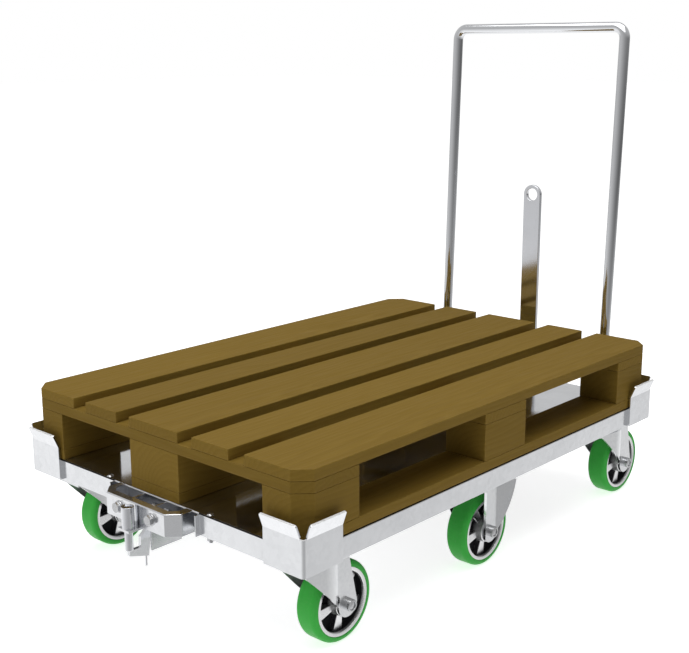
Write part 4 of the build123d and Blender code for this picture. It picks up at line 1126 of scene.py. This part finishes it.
@dataclass
class PushHandle:
    """Chromed tube handle, its two seats and the screws of the front end."""

    body: str = "platform"
    tube_radius: float = 0.0125
    half_width: float = 0.249
    foot: Pair = (0.6442, 0.2)
    top: float = 1.126
    lean: float = math.radians(2.1)
    bend: float = 0.027
    sides: int = 48
    bend_steps: int = 14
    seat_edge: float = 0.001
    screw_x: float = 0.606
    screw_z: float = 0.216
    seat_screw_half: float = 0.026
    bracket_screw_y: float = 0.049
    bracket_screw_half: float = 0.009
    grip: float = 0.009
    screw: HexScrew = HexScrew(across=0.013, head=0.0053, shank=0.008, nut=0.0065, tail=0.002)

    def build(self, shop: Workshop) -> None:
        """Build the handle and its seats.

        Args:
            shop: Workshop that places the pieces.
        """
        shop.place(self._tube(), "handle_tube", self.body, CHROME, "push_handle", even=False)
        shop.dress("handle_sockets", "handle_seats", self.body, ZINC, self.seat_edge)
        shop.place(self._screws(), "front_screws", self.body, FASTENER, "front_bolts")

    def _tube(self) -> BMesh:
        """Bend one tube: up a leg, round, across the top, round and down.

        Returns:
            The tube.
        """
        up = Vector((math.sin(self.lean), 0.0, math.cos(self.lean)))
        across = Vector((0.0, 1.0, 0.0))
        facing = across.cross(up)
        rise = (self.top - self.foot[1]) / math.cos(self.lean)
        foot = Vector((self.foot[0], -self.half_width, self.foot[1]))
        bm = bmesh.new()
        ring = bmesh.ops.create_circle(
            bm, segments=self.sides, radius=self.tube_radius,
            matrix=Matrix.Translation(foot) @ up.to_track_quat("Z", "Y").to_matrix().to_4x4(),
        )["verts"]
        edges = list({edge for vert in ring for edge in vert.link_edges})
        edges = self._run(bm, edges, up * (rise - self.bend))
        inside = foot + up * (rise - self.bend) + across * self.bend
        edges = self._turn(bm, edges, inside, facing)
        edges = self._run(bm, edges, across * 2 * (self.half_width - self.bend))
        inside += across * 2 * (self.half_width - self.bend)
        edges = self._turn(bm, edges, inside, facing)
        self._run(bm, edges, up * (self.bend - rise))
        bmesh.ops.remove_doubles(bm, verts=bm.verts, dist=MERGE)
        bmesh.ops.holes_fill(bm, edges=bm.edges, sides=0)
        bmesh.ops.recalc_face_normals(bm, faces=bm.faces)
        return bm

    @staticmethod
    def _run(bm: BMesh, edges: list[BMEdge], move: Vector) -> list[BMEdge]:
        """Carry a ring of edges straight on.

        Args:
            bm: Tube so far.
            edges: Ring at its end.
            move: Length and direction of the run.

        Returns:
            The new ring at its end.
        """
        grown = bmesh.ops.extrude_edge_only(bm, edges=edges)["geom"]
        bmesh.ops.translate(bm, verts=only(BMVert, grown), vec=move)
        return only(BMEdge, grown)

    def _turn(self, bm: BMesh, edges: list[BMEdge], inside: Vector, axis: Vector) -> list[BMEdge]:
        """Carry a ring of edges round a bend.

        Args:
            bm: Tube so far.
            edges: Ring at its end.
            inside: Centre of the bend.
            axis: Axis of the bend.

        Returns:
            The new ring at its end.
        """
        verts = list({vert for edge in edges for vert in edge.verts})
        last = bmesh.ops.spin(
            bm, geom=verts + edges, cent=inside, axis=axis, angle=-math.pi / 2, steps=self.bend_steps,
            use_merge=False, use_duplicate=False,
        )["geom_last"]
        return only(BMEdge, last)

    def _screws(self) -> BMesh:
        """Screws of the handle seats and the tow bar's bracket.

        Returns:
            The screws and nuts.
        """
        bm = bmesh.new()
        pairs = [(side, step) for side in BOTH_SIDES for step in BOTH_SIDES]
        places = [
            (side * self.half_width + step * self.seat_screw_half, self.screw_z)
            for side, step in pairs
        ] + [
            (side * self.bracket_screw_y, self.screw_z + step * self.bracket_screw_half)
            for side, step in pairs
        ]
        for y, z in places:
            self.screw.add_to(bm, Facing.REAR.at((self.screw_x, y, z)), self.grip)
        return bm


@dataclass
class TowBar:
    """Flat drawbar with its eye, the bracket that carries it and the pin it swings on."""

    bar_edge: float = 0.0012
    bar_facets: int = 3
    bracket_edge: float = 0.001
    pin_radius: float = 0.006
    pin_rounding: float = 0.0015
    head_radius: float = 0.01
    head: float = 0.005
    half_span: float = 0.0335
    pivot: Pair = (0.682, 0.215)

    def build(self, shop: Workshop) -> None:
        """Build the bar, its bracket and its pin.

        Args:
            shop: Workshop that places the pieces.
        """
        shop.dress("drawbar", "tow_bar", "drawbar", POLISHED, self.bar_edge, self.bar_facets)
        shop.dress("drawbar_bracket", "tow_bar_bracket", "platform", ZINC, self.bracket_edge)
        shop.place(self._pin(), "tow_bar_pin", "platform", POLISHED, "drawbar_pin")

    def _pin(self) -> BMesh:
        """Pin with a head at both ends.

        Returns:
            The pin.
        """
        outer = self.half_span + self.head
        profile = [
            (0.0, -outer), (self.head_radius, -outer), (self.head_radius, -self.half_span),
            (self.pin_radius, -self.half_span), (self.pin_radius, self.half_span),
            (self.head_radius, self.half_span), (self.head_radius, outer), (0.0, outer),
        ]
        pin = turned(profile, steps=48, rounding={corner: self.pin_rounding for corner in (1, 6)})
        return moved(pin, Facing.RIGHT.at((self.pivot[0], 0.0, self.pivot[1])))


@dataclass
class Hitch:
    """Folded hitch box with its pin tube, rising pin, lever and screws."""

    body: str = "platform"
    sheet_edge: float = 0.0008
    lever_edge: float = 0.001
    pin_x: float = -0.6665
    tube_low: float = 0.195
    tube_high: float = 0.2383
    tube_outer: float = 0.0125
    tube_inner: float = 0.0105
    mouth_rounding: Pair = (0.0008, 0.0006)
    pin_low: float = 0.1486
    pin_seat: float = 0.1953
    pin_high: float = 0.236
    shank_radius: float = 0.008
    head_radius: float = 0.01045
    pin_rounding: float = 0.0015
    face_x: float = -0.65
    screw_y: float = 0.0485
    screw_z: float = 0.2194
    grip: float = 0.008
    screw: HexScrew = HexScrew(
        across=0.019, head=0.0075, shank=0.012, nut=0.01, tail=0.002, washer=0.024, washer_thickness=0.0025
    )
    lever_screw: HexScrew = HexScrew(across=0.017, head=0.0064, shank=0.01, nut=0.0064, tail=0.0)
    lever_pivot: Pair = (-0.6, 0.212)
    cheek_outer: float = 0.035

    def build(self, shop: Workshop) -> None:
        """Build the hitch.

        Args:
            shop: Workshop that places the pieces.
        """
        for node, name in (
            ("hitch_housing", "hitch_box"),
            ("hitch_tongue", "hitch_tongue_plate"),
            ("lever_brackets", "lever_cheeks"),
        ):
            shop.dress(node, name, self.body, ZINC, self.sheet_edge)
        shop.dress("lift_lever", "trip_lever", "lift_lever", ZINC, self.lever_edge)
        shop.place(self._tube(), "pin_tube", self.body, POLISHED, "guide_tube")
        shop.place(self._pin(), "rising_pin", "coupling_pin", POLISHED, "coupling_pin")
        screws = bmesh.new()
        for side in BOTH_SIDES:
            place = Facing.FRONT.at((self.face_x, side * self.screw_y, self.screw_z))
            self.screw.add_to(screws, place, self.grip)
        shop.place(screws, "hitch_screws", self.body, FASTENER, "hitch_bolts")
        pivot = bmesh.new()
        place = Facing.RIGHT.at((self.lever_pivot[0], self.cheek_outer, self.lever_pivot[1]))
        self.lever_screw.add_to(pivot, place, 2 * self.cheek_outer)
        shop.place(pivot, "lever_pin", self.body, FASTENER, "lever_pivot")

    def _tube(self) -> BMesh:
        """Tube that guides the pin, with its mouth turned round.

        Returns:
            The tube.
        """
        profile = [
            (self.tube_inner, self.tube_low), (self.tube_outer, self.tube_low),
            (self.tube_outer, self.tube_high), (self.tube_inner, self.tube_high),
        ]
        outer, inner = self.mouth_rounding
        ring = turned(profile, closed=True, steps=72, rounding={2: outer, 3: inner})
        return moved(ring, Matrix.Translation((self.pin_x, 0.0, 0.0)))

    def _pin(self) -> BMesh:
        """Stepped pin with round ends.

        Returns:
            The pin.
        """
        profile = [
            (0.0, self.pin_low), (self.shank_radius, self.pin_low), (self.shank_radius, self.pin_seat),
            (self.head_radius, self.pin_seat), (self.head_radius, self.pin_high), (0.0, self.pin_high),
        ]
        pin = turned(profile, steps=64, rounding={corner: self.pin_rounding for corner in (1, 4)})
        return moved(pin, Matrix.Translation((self.pin_x, 0.0, 0.0)))


@dataclass
class Castors:
    """Castor plates, swivel forks, fixed frames, axles and their screws."""

    swivel_x: float = 0.511
    castor_y: float = 0.3324
    trail: float = 0.059
    axle_z: float = 0.08
    plate_z: float = 0.189
    plate_edge: float = 0.001
    fork_edge: float = 0.0012
    crown_z: float = 0.17
    inside_shade_share: float = 0.85
    inward: float = 0.5
    bolt_half: Pair = (0.0525, 0.04)
    bolt_grip: float = 0.009
    bolt: HexScrew = HexScrew(across=0.017, head=0.0064, shank=0.01, nut=0.008, tail=0.002)
    kingpin_radius: float = 0.008
    kingpin_head_radius: float = 0.013
    kingpin_head: float = 0.007
    kingpin_rounding: float = 0.003
    kingpin_head_top: float = 0.1695
    kingpin_top: float = 0.195
    leg_outer: float = 0.036
    axle_radius: float = 0.008
    head_across: float = 0.024
    head: float = 0.01
    nut_radius: float = 0.012
    nut: float = 0.012
    nut_recess: float = 0.0014
    axle_edge: float = 0.001

    def swivel(self, corner: Corner) -> tuple[float, float]:
        """Place of one swivel axis in plan."""
        along, side = corner.signs
        return along * self.swivel_x, side * self.castor_y

    def build(self, shop: Workshop) -> None:
        """Build the castors without their wheels.

        Args:
            shop: Workshop that places the pieces.
        """
        shop.dress("swivel_plates", "castor_plates", "platform", FORK, self.plate_edge)
        shop.dress("fixed_forks", "fixed_frames", "platform", FORK, self.fork_edge)
        shop.place(self._bolts(), "castor_screws", "platform", FASTENER, "castor_bolts")
        shop.place(self._kingpins(), "swivel_pins", "platform", FASTENER, "kingpins")
        fixed = bmesh.new()
        for middle in Middle:
            self._axle(fixed, 0.0, middle.side * self.castor_y)
        shop.place(fixed, "fixed_axle_screws", "platform", FASTENER, "fixed_axles")
        for corner in Corner:
            body = "castor_" + corner.value
            x, y = self.swivel(corner)
            fork = shop.rounded_copy("fork_" + corner.value, self.fork_edge)
            self._shade_inside(fork, y)
            shop.place(fork, "swivel_fork_" + corner.value, body, FORK, "fork_" + corner.value)
            axle = bmesh.new()
            self._axle(axle, x + self.trail, y)
            shop.place(axle, "axle_screw_" + corner.value, body, FASTENER, "axle_" + corner.value)

    def _shade_inside(self, fork: BMesh, middle: float) -> None:
        """Paint shade on the faces of a fork that look towards its wheel.

        Args:
            fork: Fork in the dolly's frame.
            middle: Middle of the fork across the platform.
        """

        def shade(vert: BMVert) -> float:
            """Painted shade at one point of the fork.

            Args:
                vert: Point of the fork.

            Returns:
                Share of the painted shade that it takes.
            """
            across = vert.co.y - middle
            low = vert.co.z < self.crown_z - self.fork_edge
            return self.inside_shade_share if low and across * vert.normal.y < -self.inward * abs(across) else 0.0

        fork.normal_update()
        mark(fork, PAINTED_SHADE.attribute, shade)

    def _bolts(self) -> BMesh:
        """Four screws through each castor plate.

        Returns:
            The screws and nuts.
        """
        bm = bmesh.new()
        castors = [self.swivel(corner) for corner in Corner]
        castors += [(0.0, middle.side * self.castor_y) for middle in Middle]
        for x, y in castors:
            for step_x in BOTH_SIDES:
                for step_y in BOTH_SIDES:
                    place = (x + step_x * self.bolt_half[0], y + step_y * self.bolt_half[1], self.plate_z)
                    self.bolt.add_to(bm, Facing.UP.at(place), self.bolt_grip)
        return bm

    def _kingpins(self) -> BMesh:
        """Riveted pins that the forks swivel on.

        Returns:
            The pins.
        """
        bm = bmesh.new()
        profile = [
            (0.0, self.kingpin_head_top - self.kingpin_head),
            (self.kingpin_head_radius, self.kingpin_head_top - self.kingpin_head),
            (self.kingpin_head_radius, self.kingpin_head_top), (self.kingpin_radius, self.kingpin_head_top),
            (self.kingpin_radius, self.kingpin_top), (0.0, self.kingpin_top),
        ]
        for corner in Corner:
            pin = turned(profile, steps=48, rounding={1: self.kingpin_rounding})
            join(bm, pin, Matrix.Translation((*self.swivel(corner), 0.0)))
        return bm

    def _axle(self, bm: BMesh, x: float, y: float) -> None:
        """Add one axle screw with a hex head on the left and a sleeve nut on the right.

        Args:
            bm: Shape that grows.
            x: Axle's place along the platform.
            y: Middle of the fork across the platform.
        """
        place = Facing.RIGHT.at((x, y, self.axle_z))
        outward = Matrix.Translation((0.0, 0.0, -self.leg_outer)) @ Matrix.Rotation(math.pi, 4, "X")
        join(bm, hex_block(self.head_across, self.head), place @ outward)
        end = self.leg_outer + self.nut
        floor, edge = end - self.nut_recess, self.axle_edge
        shank = [
            (0.0, -self.leg_outer), (self.axle_radius, -self.leg_outer), (self.axle_radius, floor - edge),
            (self.axle_radius - edge, floor), (0.0, floor),
        ]
        join(bm, turned(shank, steps=40), place)
        sleeve = [
            (self.axle_radius, floor - edge), (self.axle_radius, end - edge / 2),
            (self.axle_radius + edge / 2, end), (self.nut_radius - edge, end), (self.nut_radius, end - edge),
            (self.nut_radius, self.leg_outer), (self.axle_radius, self.leg_outer),
        ]
        join(bm, turned(sleeve, closed=True, steps=56), place)


@dataclass
class Wheels:
    """Cast wheel cores with green treads and ball races."""

    radius: float = 0.08
    tread_half: float = 0.025
    tread_lip: float = 0.0015
    shoulder: float = 0.0115
    rim_radius: float = 0.0666
    rim_inner: float = 0.0604
    rim_half: float = 0.0235
    rim_edge: Pair = (0.0004, 0.0012)
    rim_foot: Pair = (0.005, 0.004)
    wall_draft: Triple = (0.0015, 0.001, 0.0008)
    web_half: float = 0.003
    hub_radius: float = 0.026
    hub_half: float = 0.0307
    hub_edge: float = 0.0015
    hub_foot: Pair = (0.006, 0.005)
    bore: float = 0.01
    race_radius: float = 0.019
    race_bore: float = 0.00805
    race_width: float = 0.012
    race_wall: float = 0.0025
    seal_depth: float = 0.0006
    spokes: int = 5
    first_spoke: float = math.radians(-94.0)
    spoke_hub_width: float = 0.014
    spoke_rim_width: float = 0.025
    spoke_half_depth: float = 0.017
    spoke_rim_share: float = 0.75
    spoke_bite: float = 0.002
    spoke_edge: float = 0.0014
    spoke_facets: int = 3
    pocket_depth: float = 0.0125
    pocket_margin: float = 0.0005
    wall_depth: float = 0.0168
    wall_reach: float = 0.0016

    def build(self, shop: Workshop) -> None:
        """Build the six wheels.

        Args:
            shop: Workshop that places the pieces.
        """
        for name in [corner.value for corner in Corner] + [middle.value for middle in Middle]:
            low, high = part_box("tread_" + name)
            place = Facing.RIGHT.at((low + high) / 2)
            for shape, finish, label, node in (
                (self._tread(), TREAD, "tyre_", "tread_"),
                (self._core(), CAST, "wheel_core_", "core_"),
                (self._races(), RACE, "ball_races_", "bearings_"),
            ):
                shop.place(moved(shape, place), label + name, "wheel_" + name, finish, node + name)

    def _tread(self) -> BMesh:
        """Tread ring with round shoulders.

        Returns:
            The tread about its own axis.
        """
        foot = self.rim_radius + self.tread_lip
        profile = [
            (self.rim_radius, -self.rim_half), (foot, -self.tread_half), (self.radius, -self.tread_half),
            (self.radius, self.tread_half), (foot, self.tread_half), (self.rim_radius, self.rim_half),
        ]
        bm = turned(profile, closed=True, steps=128, rounding={2: self.shoulder, 3: self.shoulder})
        face = self.radius - self.shoulder / 3
        mark(bm, TREAD.running, lambda vert: vert.co.xy.length > face)
        return bm

    def _core(self) -> BMesh:
        """Rim, web and hub turned in one, with cast spokes on both sides.

        Returns:
            The core about its own axis.
        """
        seat = self.hub_half - self.race_width
        hub_reach, hub_rise = self.hub_foot
        rim_reach, rim_rise = self.rim_foot
        low, middle, high = self.wall_draft
        lip, drop = self.rim_edge
        half = [
            (self.bore, seat), (self.race_radius, seat), (self.race_radius, self.hub_half),
            (self.hub_radius - self.hub_edge, self.hub_half),
            (self.hub_radius, self.hub_half - self.hub_edge),
            (self.hub_radius + self.hub_edge, self.web_half + hub_rise),
            (self.hub_radius + hub_reach, self.web_half), (self.rim_inner - rim_reach, self.web_half),
            (self.rim_inner - low, self.web_half + rim_rise), (self.rim_inner - middle, self.wall_depth),
            (self.rim_inner - high, self.rim_half - drop), (self.rim_inner + lip, self.rim_half),
            (self.rim_radius, self.rim_half),
        ]
        bm = turned(half + [(radius, -height) for radius, height in reversed(half)], closed=True, steps=96)
        for number in range(self.spokes):
            angle = self.first_spoke + number * FULL_TURN / self.spokes
            join(bm, self._spoke(), Matrix.Rotation(angle, 4, "Z"))
        # Painted shade deep in the pockets between the spokes.
        mark(bm, PAINTED_POCKET_SHADE.attribute, self._in_shade)
        return bm

    def _in_shade(self, vert: BMVert) -> bool:
        """Tell whether a point of the core lies deep in a pocket, where shade is painted.

        Args:
            vert: Point of the core, about its own axis.

        Returns:
            True where the pocket gets painted shade.
        """
        radius = vert.co.xy.length
        pocket = self.hub_radius - self.pocket_margin < radius < self.rim_inner - self.pocket_margin
        depth = self.wall_depth if radius > self.rim_inner - self.wall_reach else self.pocket_depth
        return pocket and abs(vert.co.z) < depth + MERGE

    def _spoke(self) -> BMesh:
        """One spoke, wider at the rim and lower there.

        Returns:
            The spoke, which points along +x.
        """
        start, end = self.hub_radius - self.spoke_bite, self.rim_inner + self.spoke_bite
        bm = bmesh.new()
        bmesh.ops.create_cube(bm, size=1.0)
        for vert in bm.verts:
            at_rim = vert.co.x > 0
            width = self.spoke_rim_width if at_rim else self.spoke_hub_width
            depth = self.spoke_half_depth * (self.spoke_rim_share if at_rim else 1.0)
            vert.co = (end if at_rim else start, vert.co.y * width, math.copysign(depth, vert.co.z))
        soften(bm, self.spoke_edge, self.spoke_facets)
        return bm

    def _races(self) -> BMesh:
        """Ball races at both ends of the hub, each with a seal.

        Returns:
            The races about their own axis.
        """
        face, back, step = self.hub_half, self.hub_half - self.race_width, self.seal_depth
        inner, outer = self.race_bore + self.race_wall, self.race_radius - self.race_wall
        profile = [
            (self.race_bore, back), (self.race_bore, face), (inner, face), (inner, face - step),
            (outer, face - step), (outer, face), (self.race_radius, face), (self.race_radius, back),
        ]
        bm = turned(profile, closed=True, steps=64)
        opposite = [(radius, -height) for radius, height in profile]
        join(bm, turned(opposite, closed=True, steps=64), Matrix.Identity(4))
        mark(bm, SEAL.attribute, lambda vert: abs(abs(vert.co.z) - (face - step)) < step / 2)
        return bm


@dataclass
class Pallet:
    """Wooden pallet: three layers of boards over nine blocks."""

    body: str = "pallet"
    edge: float = 0.0014
    seed: int = 11
    log_run: Pair = (0.0, 9.0)
    pith: Pair = (0.03, 0.06)

    def build(self, shop: Workshop) -> None:
        """Build the pallet's layers.

        Args:
            shop: Workshop that places the pieces.
        """
        chance = random.Random(self.seed)
        for node, name, along_y in (
            ("pallet_deck_boards", "top_boards", False),
            ("pallet_cross_boards", "cross_boards", True),
            ("pallet_blocks", "spacer_blocks", False),
            ("pallet_runners", "skid_boards", False),
        ):
            bm = shop.rounded_copy(node, self.edge)
            self._lay_grain(bm, along_y, chance)
            shop.place(bm, name, self.body, WOOD, node)

    def _lay_grain(self, bm: BMesh, along_y: bool, chance: random.Random) -> None:
        """Give each board its own run of grain and its own tone.

        Args:
            bm: One layer of boards.
            along_y: Whether the boards run across the pallet.
            chance: Seeded source of the boards' differences.
        """
        place = bm.verts.layers.float_vector.new(WOOD.place)
        tone = bm.verts.layers.float.new(WOOD.tone)
        for board in sorted(islands(bm), key=lambda verts: min(tuple(vert.co) for vert in verts)):
            middle = sum((vert.co for vert in board), Vector()) / len(board)
            shift = Vector([chance.uniform(*span) for span in (self.log_run, self.pith, self.pith)])
            shade = chance.random()
            for vert in board:
                run = vert.co - middle
                vert[place] = (Vector((run.y, -run.x, run.z)) if along_y else run) + shift
                vert[tone] = shade


@dataclass(frozen=True)
class SoftBox:
    """One large soft lamp."""

    name: str
    place: Triple
    aim: Triple
    size: Pair
    power: float
    mirrored: bool = True

    def build(self) -> None:
        """Hang the lamp, point it and hide it from metal where it only fills."""
        lamp = bpy.data.lights.new(self.name, "AREA")
        lamp.shape = "RECTANGLE"
        lamp.size, lamp.size_y = self.size
        lamp.energy = self.power
        holder = bpy.data.objects.new(self.name, lamp)
        holder.location = self.place
        holder.visible_glossy = self.mirrored
        holder.rotation_mode = "QUATERNION"
        holder.rotation_quaternion = (Vector(self.aim) - Vector(self.place)).to_track_quat("-Z", "Y")
        bpy.context.scene.collection.objects.link(holder)


@dataclass(frozen=True)
class Glow:
    """Brightness that metal shows from one height of the surroundings, with its brightest way round."""

    height: float
    level: float
    swing: float = 0.0
    way: float = 0.0
    most: float = 1.05

    def strength(self, sheet: NodeSheet, x: Socket, y: Socket) -> Socket:
        """Brightness towards a direction.

        Args:
            sheet: Node sheet of the world.
            x: Direction's share along the dolly.
            y: Direction's share across the dolly.

        Returns:
            The brightness.
        """
        parts = [
            sheet.math("MULTIPLY", part, self.swing * share)
            for part, share in ((x, math.cos(self.way)), (y, math.sin(self.way)))
        ]
        return sheet.math("MINIMUM", sheet.math("ADD", sheet.math("ADD", *parts), self.level), self.most)


@dataclass
class Studio:
    """Pale floor, soft lamps, white backdrop and the camera."""

    floor_half: float = 30.0
    floor_z: float = -0.0004
    floor_shade: Colour = (0.92, 0.92, 0.92)
    floor_rough: float = 0.9
    floor_lift: Pair = (0.76, 0.92)
    lift_span: Pair = (0.5, 2.0)
    floor_glow: float = 0.32
    lit_half: Pair = (0.6, 0.4)
    ambient: float = 0.19
    glow: tuple[Glow, ...] = (
        Glow(-0.75, 1.18, most=1.18),
        Glow(-0.42, 0.83, 0.4, math.radians(65.0)),
        Glow(-0.28, 0.84, 0.4, math.radians(65.0)),
        Glow(-0.05, 0.38, 0.24, math.radians(115.0)),
        Glow(0.3, 0.55, 0.15, math.radians(65.0)),
        Glow(0.8, 0.6),
    )
    lamps: tuple[SoftBox, ...] = (
        SoftBox("top_box", (-0.4, -0.2, 3.0), (0.0, 0.0, 0.2), (3.2, 3.0), 80.0),
        SoftBox("left_box", (-2.9, 1.3, 1.0), (0.0, 0.0, 0.3), (2.4, 1.8), 15.0, False),
        SoftBox("right_box", (0.4, -3.2, 1.4), (0.0, 0.0, 0.3), (2.2, 1.6), 3.0, False),
    )
    camera_place: Triple = (-1.9281, -1.7065, 1.0836)
    camera_right: Triple = (0.67272, -0.73989, -0.00358)
    camera_up: Triple = (0.17427, 0.15374, 0.97262)
    lens: float = 61.34
    sensor: float = 36.0

    def build(self) -> None:
        """Build the set round the dolly."""
        self._floor()
        self._backdrop()
        for lamp in self.lamps:
            lamp.build()
        self._camera()
        bpy.context.scene.view_settings.view_transform = "Standard"

    def _floor(self) -> None:
        """Lay the floor."""
        bm = bmesh.new()
        bmesh.ops.create_grid(bm, x_segments=1, y_segments=1, size=self.floor_half)
        bmesh.ops.translate(bm, verts=bm.verts, vec=(0.0, 0.0, self.floor_z))
        mesh = bpy.data.meshes.new("studio_floor")
        bm.to_mesh(mesh)
        bm.free()
        material, sheet, shader = start_material("studio_floor")
        shader.inputs["Base Color"].default_value = (*self.floor_shade, 1.0)
        shader.inputs["Roughness"].default_value = self.floor_rough
        shader.inputs["Specular IOR Level"].default_value = 0.0
        shader.inputs["Emission Color"].default_value = (1.0, 1.0, 1.0, 1.0)
        direct = sheet.add("ShaderNodeLightPath").outputs["Is Camera Ray"]
        parts = sheet.add("ShaderNodeSeparateXYZ")
        sheet.feed(parts.inputs[0], sheet.add("ShaderNodeTexCoord").outputs["Object"])
        beyond = []
        for axis, half in zip("XY", self.lit_half):
            outside = sheet.math("SUBTRACT", sheet.math("ABSOLUTE", parts.outputs[axis]), half)
            beyond.append(sheet.math("MAXIMUM", outside, 0.0))
        lift = sheet.remap(self._length(sheet, *beyond), *self.lift_span, *self.floor_lift)
        shown = sheet.math("MAXIMUM", sheet.math("MULTIPLY", direct, lift), self.floor_glow)
        sheet.feed(shader.inputs["Emission Strength"], shown)
        mesh.materials.append(material)
        floor = bpy.data.objects.new("studio_floor", mesh)
        floor.visible_glossy = False
        bpy.context.scene.collection.objects.link(floor)
        floor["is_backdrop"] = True

    @staticmethod
    def _length(sheet: NodeSheet, x: Socket, y: Socket) -> Socket:
        """Length of a flat vector."""
        squares = [sheet.math("MULTIPLY", part, part) for part in (x, y)]
        return sheet.math("SQRT", sheet.math("ADD", *squares))

    def _backdrop(self) -> None:
        """Fill the world: white to the camera, a soft sky to metal, a plain level to the rest."""
        world = bpy.data.worlds.new("studio")
        bpy.context.scene.world = world
        world.use_nodes = True
        sheet = NodeSheet(world.node_tree)
        rays = sheet.add("ShaderNodeLightPath").outputs
        mirrored = sheet.math("MAXIMUM", rays["Is Glossy Ray"], rays["Is Transmission Ray"])
        parts = sheet.add("ShaderNodeSeparateXYZ")
        sheet.feed(parts.inputs[0], sheet.add("ShaderNodeTexCoord").outputs["Generated"])
        x, y, z = parts.outputs
        reach = sheet.math("MAXIMUM", self._length(sheet, x, y), MERGE)
        way = [sheet.math("DIVIDE", part, reach) for part in (x, y)]
        shown = self.glow[0].strength(sheet, *way)
        for lower, upper in zip(self.glow, self.glow[1:]):
            share = sheet.remap(z, lower.height, upper.height)
            shown = sheet.blend(share, shown, upper.strength(sheet, *way))
        light = sheet.blend(mirrored, (self.ambient,) * 3, shown)
        light = sheet.blend(rays["Is Camera Ray"], light, (1.0, 1.0, 1.0))
        sheet.feed(world.node_tree.nodes["Background"].inputs["Color"], light)

    def _camera(self) -> None:
        """Set the camera at the photograph's place."""
        data = bpy.data.cameras.new("photo_camera")
        data.lens, data.sensor_width = self.lens, self.sensor
        camera = bpy.data.objects.new("photo_camera", data)
        right, up = Vector(self.camera_right).normalized(), Vector(self.camera_up).normalized()
        turn = Matrix((right, up, right.cross(up))).transposed().to_4x4()
        camera.matrix_world = Matrix.Translation(Vector(self.camera_place)) @ turn
        bpy.context.scene.collection.objects.link(camera)
        bpy.context.scene.camera = camera


def write_sizes(cad_box: tuple[Vector, Vector]) -> None:
    """Gather the CAD box and the dressed dolly's box; the result is not kept.

    Args:
        cad_box: Lowest and highest corner of the CAD model.
    """
    boxes = {"cad": cad_box, "visual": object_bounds()}
    {name: [list(corner) for corner in box] for name, box in boxes.items()}


def main() -> None:
    """Build the dolly's pieces in order and report them."""
    logging.basicConfig(level=logging.INFO, format="%(name)s: %(message)s")
    cad_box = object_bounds()
    effects = Effects()
    shop = Workshop(frame["nodes"], {finish: finish.make(effects) for finish in FINISHES})
    Studio().build()
    assemblies = (Platform(), CornerGuides(), PushHandle(), TowBar(), Hitch(), Castors(), Wheels(), Pallet())
    for assembly in assemblies:
        count = len(shop.made)
        assembly.build(shop)
        for piece in shop.made[count:]:
            LOG.info("%s: %s, %d faces", type(assembly).__name__, piece.name, len(piece.data.polygons))
    write_sizes(cad_box)


if __name__ == "__main__":
    main()
